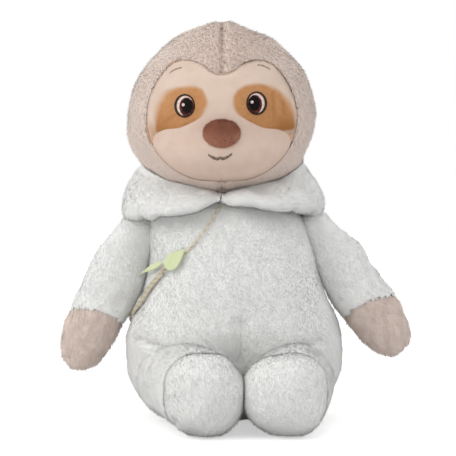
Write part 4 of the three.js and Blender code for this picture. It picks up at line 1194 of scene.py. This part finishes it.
def makeHeadFur():
    outline = faceOutline(0)
    points, faces = headSkin(outline)

    def comb(root):
        # downwards and outwards, and at the opening over the edge of the face
        outwards = (root[:, 0] - neckX) * headComb["outwards"]
        flow = np.stack([outwards, np.zeros(len(root)), np.full(len(root), -headComb["down"])], 1)
        near = 1 - fade(outlineDistance(root[:, [0, 2]], [outline]), *headComb["reach"])
        atRim = near * (root[:, 1] < head["rimAhead"])
        near = headComb["inwards"] * atRim * fade(root[:, 2], *headComb["heights"])
        inwards = unit(np.array([neckX, 0, faceOpening["z"]]) - root * [1, 0, 1])
        return flow * (1 - near)[:, None] + inwards * near[:, None]

    def brushed(root):
        # painted shade over the brow, strongest in front
        across, height = np.abs(root[:, 0] - neckX - browBrushShade["x"]), root[:, 2]
        front = browBrushShade["share"] * fade(-root[:, 1], *browBrushShade["front"])
        return front * (1 - fade(across, *browBrushShade["across"])) * fade(height, *browBrushShade["heights"])

    for name, sign in sides.items():
        skin = keepFaces(points, faces, lambda p: (p[:, 0] - neckX) * sign > 0)
        sew(
            f"head_{name}", f"head_side_{name}", skin, headPile, 81 + sign, "head", fill=0.9,
            comb=comb, keep=lambda root, out: root[:, 2] > head["pileAbove"], brushed=brushed,
        )


makeHeadFur()
print("head fur made")

# Face and muzzle

face = {
    "z": 264, "y": -22, "halfWidth": 72, "depth": 55, "halfHeight": 61,
    "step": 0.9, "cloth": 1.4, "blend": 2.2, "recess": 2, "flare": 12,
    "tuck": 1.5, "rimDepth": 2, "leastDip": 0.8,  # how far its edge runs under the fur, and how deep it lies
    # rimShade and the two after it: where the painted seam shadow at the fur's edge fades, its strength
    # inside, and its strength under the fur
    "rimWidth": 2.2, "rimSlope": 0.3, "rimShade": (0.2, 1.6), "rimShadow": 0.75, "underFurShadow": 0.6,
}
muzzle = {"z": 239, "y": -30, "halfWidth": 66, "depth": 52, "halfHeight": 33}
muzzleSeamShares = [
    [1.3, -0.74],
    [1, -0.68],
    [0.92, -0.52],
    [0.9, -0.36],
    [0.86, -0.23],
    [0.74, -0.15],
    [0.54, -0.12],
    [0.36, -0.03],
    [0.18, 0.08],
]
faceSeam = {"depth": 1.3, "width": 1.6, "bridge": (16, 28)}  # on the bridge of the nose it doesn't show
chinDarts = [(2.4, 1.4, 212, 221), (0.35, 1.2, 226, 232)]  # depth, width, and where each fades out
# painted shadow in the chin dart: its strength, its width, and the heights over which it fades
dartShade = {"parted": 0.8, "width": (0.4, 1.3), "heights": (212.5, 216)}
featureSlope = 0.036  # the line of the eyes rises towards the toy's left
eye = {
    "left": 30, "right": 31.7, "z": 279.2, "halfWidth": 9.1, "halfHeight": 10.3,
    "rim": 1.6, "sideRim": 0.2, "outerRim": 0.35,
    "raised": {"ball": 0.4, "iris": 0.7, "ring": 1.1, "glint": 1.1},
    "irisHalfWidth": 6.5, "irisHalfHeight": 8.4, "irisInward": 1.4, "irisDrop": 0.8,
    "pupilHalfWidth": 4.9, "pupilHalfHeight": 6.6, "pupilInward": 0.7, "pupilRise": 0.6,
    "pupilEdge": (0.9, 1.1),  # shares of its size over which it fades
    "glintRadius": 0.8, "glintX": -2.6, "glintZ": 1.7,
}
patch = {
    "left": 36, "right": 35.2, "z": 277, "halfWidth": {"left": 26.4, "right": 22.5}, "halfHeight": 18.8,
    "feather": 4, "spread": {"left": 0.8, "right": 1.6},  # soft edge of the tint, and how much wider outside
    "dark": {"left": 1.0, "right": 0.7}, "outerEnd": 20, "lowEdge": (-22, 2),  # where it is sprayed darker
    "ragged": 0.3, "raggedSize": 9, "nearEye": 13,
    "depths": (0.1, 0.3, 0.75, 0.2),  # how deep the tint is all over, near the eye, low outside, and low
}
cheekTint = {"share": 0.5, "across": (50, 60), "top": (256, 270), "bottom": (222, 240)}
foldShadeLines = [[(-50, 270), (-62, 262)], [(34.7, 289), (36, 268.7)], [(43.5, 281), (48, 259)]]  # painted shade along folds in the cloth
foldShade = {"deep": 0.55, "width": 2.6}
patchShares = {
    "left": [
        [-1, 0.24], [-0.89, 0.66], [-0.62, 0.93], [-0.31, 1], [0.04, 0.96], [0.44, 0.72], [0.76, 0.3],
        [0.96, -0.18], [1.06, -0.78], [1.04, -1.1], [0.5, -1.2], [-0.31, -1], [-0.7, -0.62], [-0.9, -0.2],
    ],
    "right": [
        [-1, 0.26], [-0.86, 0.75], [-0.54, 0.96], [-0.08, 1], [0.38, 0.88], [0.69, 0.58], [0.9, 0.15],
        [0.99, -0.45], [0.95, -1.05], [0.28, -1.2], [-0.23, -1.05], [-0.66, -0.62], [-0.95, -0.1],
    ],
}


def ovalDepth(form, x, z):
    # front of an oval cushion, which falls back steeply beyond its outline
    share = ((x - neckX) / form["halfWidth"]) ** 2 + ((z - form["z"]) / form["halfHeight"]) ** 2
    front = form["y"] - form["depth"] * np.sqrt(np.maximum(1 - share, 0))
    return front + face["flare"] * np.maximum(share - 1, 0)


def headDepth(x, z):
    # front of the fur
    share = (z - head["bottom"]) / head["height"]
    table = smoothTable(headShares, share)
    across = np.clip(np.abs(x - fullerSide(x, z) - neckX) / (table[:, 0] * head["halfWidth"] + 0.1), 0, 1)
    power = head["squareness"]
    return head["y"] - table[:, 1] * head["front"] * (1 - across**power) ** (1 / power)


def faceDepth(x, z):
    # front of the face cushion and of the muzzle, run softly together and held at the fur's front
    depths = [ovalDepth(face, x, z), ovalDepth(muzzle, x, z), headDepth(x, z) + face["recess"]]
    return -face["blend"] * np.logaddexp.reduce([-depth / face["blend"] for depth in depths])


def muzzleSeam():
    left, right = mirrored(
        muzzleSeamShares,
        lambda x, z: (x * faceOpening["halfWidth"], faceOpening["z"] + z * faceOpening["halfHeight"]),
    )
    return roundCurve(np.vstack([left, right[::-1]]), 160, closed=False)


def onFace(u, v, lift):
    return np.stack([u, faceDepth(u, v) - lift, v], 1)


def clipped(outline, seam, below):
    # the part of an outline on one side of the muzzle's seam
    line = seam[np.argsort(seam[:, 0])]
    level = np.interp(outline[:, 0], line[:, 0], line[:, 1])
    keep = outline[:, 1] < level if below else outline[:, 1] >= level
    start = np.flatnonzero(keep & ~np.roll(keep, 1))[0]
    run = np.roll(outline, -start, axis=0)[np.roll(keep, -start)]
    low, high = sorted([run[0, 0], run[-1, 0]])
    between = line[(line[:, 0] > low) & (line[:, 0] < high)]
    if run[-1, 0] > run[0, 0]:
        between = between[::-1]
    return np.vstack([run, between])


def patchOutline(name, sign):
    rows = np.array(patchShares[name])
    across = sign * (patch[name] + rows[:, 0] * patch["halfWidth"][name])
    height = patch["z"] + rows[:, 1] * patch["halfHeight"]
    return roundCurve(np.stack([neckX + across, height + featureSlope * across], 1), 120)


def frontOfFace(flat, rim, seam):
    # puffed cloth that dips into its seams and under the fur
    x, z = flat[:, 0], flat[:, 1]
    middle = np.abs(x - neckX)
    toFur = outlineDistance(flat, [rim])
    sunk = headDepth(x, z) + face["rimDepth"] - faceDepth(x, z)
    underFur = 1 + face["rimSlope"] * toFur
    edge = np.where(inOutline(flat, rim), np.exp(-((toFur / face["rimWidth"]) ** 2)), underFur)
    sewn = faceSeam["depth"] * fade(middle, *faceSeam["bridge"])
    dip = sewn * np.exp(-((lineDistance(flat, seam) / faceSeam["width"]) ** 2))
    dip = dip + np.maximum(sunk, face["leastDip"]) * edge
    chin = 0
    for depth, width, low, high in chinDarts:
        chin = chin + depth * np.exp(-((middle / width) ** 2)) * (1 - fade(z, low, high))
    return -dip - chin


def partedPile(flat, rim):
    # painted seam shadow where the fur's edge meets the face, under the fur, and in the dart under the chin
    shaded = face["rimShadow"] * (1 - fade(outlineDistance(flat, [rim]), *face["rimShade"]))
    atRim = np.where(inOutline(flat, rim), shaded, face["underFurShadow"])
    beside = 1 - fade(np.abs(flat[:, 0] - neckX), *dartShade["width"])
    atDart = dartShade["parted"] * (beside * (1 - fade(flat[:, 1], *dartShade["heights"])))
    return np.maximum(atRim, atDart)


def sprayedTint(points):
    # where the tint was sprayed on the face, and where it is deep; painted fold shade joins the deep share
    flat = points[:, [0, 2]]
    height = flat[:, 1]
    sprayed, deep = np.zeros(len(points)), np.zeros(len(points))
    for name, sign in sides.items():
        edge = patchOutline(name, sign)
        gap = outlineDistance(flat, [edge]) * np.where(inOutline(flat, edge), 1, -1)
        across = (flat[:, 0] - neckX) * sign
        outward = fade(across, patch[name], patch[name] + patch["outerEnd"])
        low = 1 - fade(height, *(patch["z"] + place for place in patch["lowEdge"]))
        feather = patch["feather"] * (1 + patch["spread"][name] * outward * (1 - low))
        ragged = patch["ragged"] * ripple(points, patch["raggedSize"], 91)
        spray = fade(gap + ragged, -0.5 * feather, 0.5 * feather)
        cheek = fade(across, *cheekTint["across"]) * (1 - fade(height, *cheekTint["top"]))
        cheek = cheek * fade(height, *cheekTint["bottom"])
        sprayed = np.maximum(sprayed, np.maximum(spray, cheekTint["share"] * cheek))
        fromEye = ((across - eye[name]) / patch["nearEye"]) ** 2
        nearEye = np.exp(-fromEye - ((height - eye["z"]) / patch["nearEye"]) ** 2)
        least, eyes, outer, lower = patch["depths"]
        dark = np.clip(least + eyes * nearEye + outer * outward * low + lower * low, 0, 1)
        dark = dark * patch["dark"][name]
        deep = np.maximum(deep, np.where(gap > -feather, dark, 0))
    # painted shade along the folds, as dark as deep tint
    for line in foldShadeLines:
        folded = np.exp(-((lineDistance(flat, line) / foldShade["width"]) ** 2))
        deep = np.maximum(deep, foldShade["deep"] * folded)
    return {"sprayed": sprayed, "deep": deep}


def makeFace():
    outline, rim, seam = faceOutline(-face["tuck"]), faceOutline(0), muzzleSeam()
    front = lambda flat, reach: frontOfFace(flat, rim, seam)
    back = lambda flat, reach: front(flat, reach) - face["cloth"] * fade(reach, 0, 2)
    for piece, below, fabric, replaced in (
        ("face_upper", False, "face", ["face_upper", "eye_patch_left", "eye_patch_right"]),
        ("muzzle", True, "muzzle", ["muzzle"]),
    ):
        points, faces = cutPad([clipped(outline, seam, below)], face["step"], onFace, front, back)
        item = addPiece(f"{piece}_cloth", points, faces, fabric, "head", replaced, "peach_velboa", fill=0.9)
        normals = vertexNormals(points, faces[1:])
        upper = np.unique(faces[0])
        normals[upper] = vertexNormals(points, faces[:1])[upper]
        item.data.normals_split_custom_set_from_vertices(normals)
        setValues(item, parted=partedPile(points[:, [0, 2]], rim))
        if not below:
            setValues(item, **sprayedTint(points))


makeFace()
print("face made")

# Embroidery: padded satin stitch over the face cloth

brow = {
    "left": 36.5, "right": 40, "z": 311.5, "halfLength": 5.8, "bow": -1.1, "tilt": -2.2, "width": 1.7,
    "raised": 0.4,
}
mouth = {"x": -1.3, "z": 232.6, "halfLength": 10.3, "bow": 4.4, "width": 2.9, "notch": 1.2, "raised": 0.6}
stitch = {  # how it lies on the cloth, the size of its mesh, and how a line thins out to its ends
    "rise": 0.1, "below": 0.6, "edge": (-0.2, 1.6), "step": 0.45, "fineStep": 0.35, "finestStep": 0.3,
    "taper": 0.35, "notchWidth": 0.12,
}


def oval(x, z, halfWidth, halfHeight, count=90):
    angle = circle(count)
    return np.stack([x + halfWidth * np.cos(angle), z + halfHeight * np.sin(angle)], 1)


def stitched(name, outlines, fabric, replaced, slot, height, step=stitch["step"]):
    top = lambda flat, reach: stitch["rise"] + height * np.sqrt(fade(reach, *stitch["edge"]))
    bottom = lambda flat, reach: np.full(len(flat), -stitch["below"])
    points, faces = cutPad(outlines, step, onFace, top, bottom)
    return addPiece(name, points, faces, fabric, "head", replaced, slot), points


def stitchLine(x, z, halfLength, bow, width, notch=0, tilt=0):
    share = np.linspace(-1, 1, 41)
    height = z + bow * share**2 + tilt * share + notch * np.exp(-((share / stitch["notchWidth"]) ** 2))
    middle = np.stack([neckX + x + share * halfLength, height + featureSlope * (x + share * halfLength)], 1)
    half = width / 2 * (1 - stitch["taper"] * share**4)
    rise = np.stack([0 * half, half], 1)
    return np.vstack([middle + rise, (middle - rise)[::-1]])


def makeEye(name, sign):
    across = sign * eye[name]
    x, z = neckX + across, eye["z"] + featureSlope * across
    halfWidth, halfHeight = eye["halfWidth"], eye["halfHeight"]
    ring = oval(x, z, halfWidth, halfHeight)
    inside = halfWidth - eye["rim"] - eye["sideRim"], halfHeight - eye["rim"]
    inner = oval(x - sign * eye["outerRim"], z, *inside)
    irisX, irisZ = x - sign * eye["irisInward"], z - eye["irisDrop"]
    iris = oval(irisX, irisZ, eye["irisHalfWidth"], eye["irisHalfHeight"])
    glint = oval(irisX + eye["glintX"], irisZ + eye["glintZ"], eye["glintRadius"], eye["glintRadius"], 24)
    raised = eye["raised"]
    white, rim = ([f"eye_white_{name}"], "white_thread"), ([f"eye_outline_{name}"], "dark_thread")
    light, coloured = ([f"eye_glint_{name}"], "white_thread"), ([f"eye_iris_{name}"], "brown_thread")
    stitched(f"eye_ball_{name}", [inner], "whiteThread", *white, raised["ball"])
    item, points = stitched(f"eye_colour_{name}", [iris, glint], "brownThread", *coloured, raised["iris"])
    stitched(f"eye_ring_{name}", [ring, inner], "blackThread", *rim, raised["ring"])
    stitched(f"eye_light_{name}", [glint], "whiteThread", *light, raised["glint"], stitch["finestStep"])
    middle = np.array([irisX - sign * eye["pupilInward"], irisZ + eye["pupilRise"]])
    fromPupil = (points[:, [0, 2]] - middle) / [eye["pupilHalfWidth"], eye["pupilHalfHeight"]]
    setValues(item, pupil=1 - fade(np.linalg.norm(fromPupil, axis=1), *eye["pupilEdge"]))


def makeBrow(name, sign):
    # the thin line over an eye
    length, bow, width = (brow[key] for key in ("halfLength", "bow", "width"))
    line = stitchLine(sign * brow[name], brow["z"], length, bow, width, tilt=sign * brow["tilt"])
    look = "browThread", [f"brow_{name}"], "dark_thread", brow["raised"]
    stitched(f"brow_line_{name}", [line], *look, stitch["fineStep"])


def makeMouth():
    smile = stitchLine(*(mouth[key] for key in ("x", "z", "halfLength", "bow", "width", "notch")))
    look = "mouthThread", ["mouth"], "dark_thread", mouth["raised"]
    stitched("mouth_line", [smile], *look, stitch["fineStep"])


for name, sign in sides.items():
    makeEye(name, sign)
    makeBrow(name, sign)
makeMouth()
print("embroidery made")

# Nose: a padded oval of short-piled cloth

nose = {
    "z": 253.2, "y": -74, "halfWidth": 17, "depth": 13, "halfHeight": 14.2, "fullness": 2.25,
    "around": 96, "bands": 60, "rest": 0.8, "taper": 0.1, "pileBehind": 1.5,
    "brushed": (-4, 8),  # above these heights from its middle the pile is stroked up and takes the root colour: painted shade
}
nosePile = {
    "backing": "nose", "fibre": "nosePile", "slot": "brown_velboa", "length": 1.5, "width": 0.6, "lean": 50,
    "spacing": 0.6, "swirl": 9, "turn": 0.6, "clump": 2.5, "uneven": 0.2, "softness": 0.9,
}


def makeNose():
    points, faces = ovalSkin((neckX, nose["y"], nose["z"]), nose)
    points = inset(points, faces, nose["rest"])
    drop = np.clip((nose["z"] - points[:, 2]) / nose["halfHeight"], 0, 1)
    points[:, 0] = neckX + (points[:, 0] - neckX) * (1 - nose["taper"] * drop**2)
    sew(
        "nose", "nose_cover", (points, faces), nosePile, 95, "head", fill=0.9, thick=False,
        keep=lambda root, out: root[:, 1] < faceDepth(root[:, 0], root[:, 2]) + nose["pileBehind"],
        brushed=lambda root: fade(root[:, 2], *(nose["z"] + place for place in nose["brushed"])),
    )


makeNose()
print("nose made")

# Hood: rolled edges that meet under the chin, and the crown hanging behind

collar = {
    "radius": 80, "lowest": 178, "height": 62, "padding": 13, "thinnest": 2, "around": 40, "rows": 130,
    "lump": 0.9, "lumpSize": 34, "fineLump": 0.25, "fineLumpSize": 15,
    "firstAngle": 0.5, "sag": 0.3,  # the filling sinks, so the roll is thicker low down
    "nearest": -0.9, "foldReach": (2, 24),  # how near the head it comes, and where its folds fade out
    "pressedAbove": 4, "against": (3, 7), "pileUp": 1.8, "pileDown": 0.8,
}
collarShares = [
    [3, 0.58, 0.38, 0.72, 0.3, 0.34],
    [14, 0.58, 0.42, 0.82, 0.24, 0.5],
    [32, 0.62, 0.46, 0.95, 0.15, 0.66],
    [52, 0.69, 0.52, 1.02, 0.1, 0.8],
    [72, 0.77, 0.64, 1.04, 0.08, 0.9],
    [92, 0.83, 0.75, 1.03, 0.07, 0.95],
    [115, 0.86, 0.84, 1.0, 0.1, 0.95],
    [145, 0.87, 0.9, 0.96, 0.14, 0.9],
    [163, 0.86, 0.92, 0.94, 0.15, 0.87],
    [180, 0.86, 0.92, 0.92, 0.16, 0.85],
]
# how much higher the lower edge hangs in front, how much further out the upper edge stands at the side,
# and the angles over which each comes and goes
collarRaise = {"left": 0.1, "right": 0, "comes": (5, 22), "goes": (62, 100)}
collarSpread = {"left": 0.06, "right": 0, "comes": (30, 55), "goes": (80, 120)}
hood = {
    "top": 238, "drop": 112, "halfWidth": 60, "y": 76.2, "curveRadius": 92, "bulge": 12, "step": 1.9,
    "lining": (0.6, 4.6), "shell": (5.9, 10),  # near and far face of each layer's cloth
    "foldDepth": 1.3, "foldStart": 0.35, "foldWidth": 7, "foldFade": (0.1, 0.95),
    "sewn": -3.4, "seamAllowance": 0.6,  # its edges lie on the roll
    "pillow": 27, "fullness": 4,  # it swells over this width
    "crownSeam": 2.2, "crownSeamWidth": 3, "lump": 0.8, "lumpSize": 24,
}
hoodBulgeShares = [[0, 0], [0.18, 0.75], [0.38, 1], [0.6, 0.6], [0.82, -0.3], [1, -1.17]]
hoodOutlineShares = [
    [0, 0],
    [0.5, 0.01],
    [0.8, 0.05],
    [0.98, 0.2],
    [1, 0.45],
    [0.86, 0.74],
    [0.5, 0.95],
    [0, 1],
]
collarFolds = [  # small notches in the rolled edge: angle from the front, side, depth, width in degrees
    (43, -1, 2.8, 4),
    (58, -1, 3.2, 4),
    (52, 1, 2.4, 4),
    (100, -1, 2.2, 6),
    (118, 1, 2.2, 6),
]


def beyondHead(points):
    # how far points lie outside the turning head, measured level
    offset = points[:, :2] - [neckX, head["y"]]
    ahead = np.arctan2(np.abs(offset[:, 0]), -offset[:, 1])
    return np.linalg.norm(offset, axis=1) - headReach(points[:, 2], np.minimum(ahead, math.pi / 2))


def overRoll(root):
    # the pile lies outwards and down over the roll, and upwards against the head
    against = 1 - fade(beyondHead(root), *collar["against"])[:, None]
    rise = collar["pileUp"] * against - collar["pileDown"]
    return unit((root - [neckX, 0, 0]) * [1, 1, 0]) + [0, 0, 1] * rise


def makeCollar(name, sign):
    angles = np.linspace(collar["firstAngle"], 180, collar["rows"])
    table = smoothTable(collarShares, angles)
    around = np.radians(angles)
    out = np.stack([sign * np.sin(around), -np.cos(around), 0 * around], 1)
    raised, wider = (
        form[name] * fade(angles, *form["comes"]) * (1 - fade(angles, *form["goes"]))
        for form in (collarRaise, collarSpread)
    )

    def place(radius, rise):
        start = np.array([neckX, 0, collar["lowest"]])
        upwards = np.array([0, 0, 1]) * (rise * collar["height"])[:, None]
        return start + out * (radius * collar["radius"])[:, None] + upwards

    top, low = place(table[:, 0] + wider, table[:, 1]), place(table[:, 2], table[:, 3] + raised)
    thickness = np.maximum(table[:, 4] * collar["padding"] - clothRest, collar["thinnest"])
    middle = (top + low) / 2
    half = top - middle
    length = np.linalg.norm(half, axis=1) + table[:, 4] * collar["padding"] / 2 - clothRest
    lengthwise = unit(half) * length[:, None]
    crosswise = unit(np.cross(np.cross([0, 0, 1.0], out), lengthwise)) * thickness[:, None]
    turn = circle(collar["around"])
    sagged = np.sin(turn) * (1 - collar["sag"] * np.cos(turn))
    rings = middle[:, None] + lengthwise[:, None] * np.cos(turn)[None, :, None]
    rings = rings + crosswise[:, None] * sagged[None, :, None]
    points, faces = loft(rings, middle[0], middle[-1])
    if sign < 0:
        faces = [group[:, ::-1] for group in faces]
    normals = vertexNormals(points, faces)
    angle = np.degrees(np.arctan2(np.abs(points[:, 0] - neckX), -points[:, 1]))
    lowEdge = 1 - fade(points[:, 2], *(collar["lowest"] + rise for rise in collar["foldReach"]))
    dent = 0
    for at, side, depth, width in collarFolds:
        if side == sign:
            dent = dent + depth * np.exp(-(((angle - at) / width) ** 2)) * lowEdge
    lump = lumps(points, collar, 101 + sign) + lumps(points, collar, 105 + sign, "fineLump")
    points = points + normals * (lump - dent)[:, None]
    # the roll is pressed out by the head that it goes round
    gap = beyondHead(points)
    pressed = (points[:, 2] > head["bottom"] + collar["pressedAbove"]) & (gap < collar["nearest"])
    outwards = unit((points - [neckX, head["y"], 0]) * [1, 1, 0])
    points = points + outwards * np.where(pressed, collar["nearest"] - gap, 0)[:, None]
    sew(
        f"hood_edge_{name}", f"collar_{name}", (points, faces), suitPile, 111 + sign, "torso",
        fill=0.6, thick=False, comb=overRoll,
    )


def onHood(u, v, lift):
    drop = np.clip((hood["top"] - v) / hood["drop"], 0, 1)
    bulge = smoothTable(hoodBulgeShares, drop)[:, 0] * hood["bulge"]
    radius = hood["curveRadius"] + lift + bulge
    y = hood["y"] - hood["curveRadius"] + np.sqrt(np.maximum(radius**2 - (u - neckX) ** 2, 1))
    return np.stack([u, y, v], 1)


def hoodOutline(margin):
    left, right = mirrored(
        hoodOutlineShares,
        lambda x, drop: (
            x * (hood["halfWidth"] - margin),
            hood["top"] - margin / 2 - drop * (hood["drop"] - margin),
        ),
    )
    return roundCurve(np.vstack([left, right[1:-1][::-1]]), 160)


def hoodFolds(flat):
    # soft folds that spread from the neck
    drop = (hood["top"] - flat[:, 1]) / hood["drop"]
    across = (flat[:, 0] - neckX) / (hood["foldStart"] + drop) / hood["foldWidth"]
    return hood["foldDepth"] * np.sin(across) * (1 - fade(drop, *hood["foldFade"]))


def makeHood():
    for piece, node, key, margin, seed in (
        ("inner", "hood_lining", "lining", 3, 121),
        ("outer", "hood_cover", "shell", -1, 122),
    ):
        near, far = hood[key]
        outer = key == "shell"
        crownSeam = hood["crownSeam"] if outer else 0
        full = hood["fullness"] if outer else 0

        def level(flat, reach, height, sewn):
            seam = crownSeam * np.exp(-(((flat[:, 0] - neckX) / hood["crownSeamWidth"]) ** 2))
            lump = lumps(flat, hood, seed)
            swelling = np.sqrt(1 - (1 - np.clip(reach / hood["pillow"], 0, 1)) ** 2)
            return sewn + (height - sewn + hoodFolds(flat) + lump - seam) * swelling

        top = lambda flat, reach: level(flat, reach, far + full, hood["sewn"])
        bottom = lambda flat, reach: level(flat, reach, near, hood["sewn"] - hood["seamAllowance"])
        points, faces = cutPad([hoodOutline(margin)], hood["step"], onHood, top, bottom)
        faces = [group[:, ::-1] for group in faces]
        sew(
            f"hood_{piece}", node, (points, faces), suitPile, seed, "hood", fill=0.3, thick=False,
            grown=faces if outer else faces[:1],
            keep=(lambda root, out: out[:, 1] > -0.4) if outer else None,
        )


for name, sign in sides.items():
    makeCollar(name, sign)
makeHood()
print("hood made")

# Stuffing and pellet bag, which stay inside the cloth

stuffing = {"voxel": 4, "noseVoxel": 0.4, "relax": 0.5, "smoothing": 8, "slack": 3.5, "fill": 0.8}


def makeStuffing(name):
    sack = name == "pellet_bag"
    item = newObject(name.replace("filling", "stuffing") + "_fibre", nodes[name].data.copy())
    voxel = item.modifiers.new("voxels", "REMESH")
    finer = stuffing["noseVoxel"] if "nose" in name else 1
    voxel.mode, voxel.voxel_size = "VOXEL", stuffing["voxel"] * mm * finer
    relax = item.modifiers.new("relax", "SMOOTH")
    relax.factor, relax.iterations = stuffing["relax"], stuffing["smoothing"]
    evaluated = item.evaluated_get(bpy.context.evaluated_depsgraph_get())
    item.data = bpy.data.meshes.new_from_object(evaluated)
    item.modifiers.clear()
    places, normals = np.empty((2, len(item.data.vertices) * 3), np.float32)
    item.data.vertices.foreach_get("co", places)
    item.data.vertices.foreach_get("normal", normals)
    item.data.vertices.foreach_set("co", places - normals * stuffing["slack"] * mm)
    item.data.materials.clear()
    item.data.materials.append(fabrics["sackcloth" if sack else "filling"])
    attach(item, nodes[name]["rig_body"])
    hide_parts(name)


for name in sorted(nodes):
    if "filling" in name or name == "pellet_bag":
        makeStuffing(name)
print("stuffing made")

# Floor, backdrop and light

studio = {
    "floor": 3000, "sunk": 0.5, "paper": 0.74, "ambient": 0.91, "near": 0.5, "far": 0.68, "fadeFrom": 300,
    "fadeTo": 1600, "aim": 170,
}
lamps = {  # place, side, power and colour
    "key_light": ((-1600, -900, 1150), 1000, 12.5, (1, 0.99, 0.975)),
    "fill_light": ((1300, -1200, 600), 1200, 2, (0.93, 0.96, 1)),
    "top_light": ((100, 300, 1700), 1000, 4, (1, 1, 1)),
}


def seenDirectly(tree):
    # 1 where the camera sees it, or a reflection shows it
    rays = addNode(tree, "ShaderNodeLightPath").outputs
    inputs = {0: rays["Is Camera Ray"], 1: rays["Is Glossy Ray"]}
    return addNode(tree, "ShaderNodeMath", {"operation": "MAXIMUM"}, inputs).outputs[0]


def makeFloor():
    size = studio["floor"] * mm
    mesh = bpy.data.meshes.new("studio_floor")
    corners = [(-size, -size, 0), (size, -size, 0), (size, size, 0), (-size, size, 0)]
    mesh.from_pydata(corners, [], [(0, 1, 2, 3)])
    item = newObject("studio_floor", mesh)
    item.location.z = -studio["sunk"] * mm
    paint, tree, shader, where = newMaterial("studio_paper")
    reach = addNode(tree, "ShaderNodeVectorMath", {"operation": "LENGTH"}, {0: where}).outputs["Value"]
    near, far = studio["fadeFrom"] * mm, studio["fadeTo"] * mm
    inputs = {0: seenDirectly(tree), 1: ranged(tree, reach, near, far, studio["near"], studio["far"])}
    glow = addNode(tree, "ShaderNodeMath", {"operation": "MULTIPLY"}, inputs)
    shader.inputs["Base Color"].default_value = (*[studio["paper"]] * 3, 1)
    shader.inputs["Roughness"].default_value = 1
    shader.inputs["Specular IOR Level"].default_value = 0
    shader.inputs["Emission Color"].default_value = (1, 1, 1, 1)
    tree.links.new(glow.outputs[0], shader.inputs["Emission Strength"])
    mesh.materials.append(paint)


def makeBackdrop():
    world = bpy.data.worlds.new("studio")
    bpy.context.scene.world = world
    world.use_nodes = True
    tree = world.node_tree
    tree.nodes.clear()
    level = ranged(tree, seenDirectly(tree), 0, 1, studio["ambient"], 1.0)
    back = addNode(tree, "ShaderNodeBackground", None, {"Color": (1, 1, 1, 1), "Strength": level})
    output = addNode(tree, "ShaderNodeOutputWorld")
    tree.links.new(back.outputs[0], output.inputs["Surface"])


def makeLamp(name, place, side, power, colour):
    data = bpy.data.lights.new(name, "AREA")
    data.size, data.energy, data.color = side * mm, power, colour
    lamp = newObject(name, data)
    lamp.location = Vector(place) * mm
    towards = Vector((0, 0, studio["aim"] * mm)) - lamp.location
    lamp.rotation_euler = towards.to_track_quat("-Z", "Y").to_euler()


makeFloor()
makeBackdrop()
for name, values in lamps.items():
    makeLamp(name, *values)
bpy.context.scene.view_settings.view_transform = "Standard"

print("scene made")
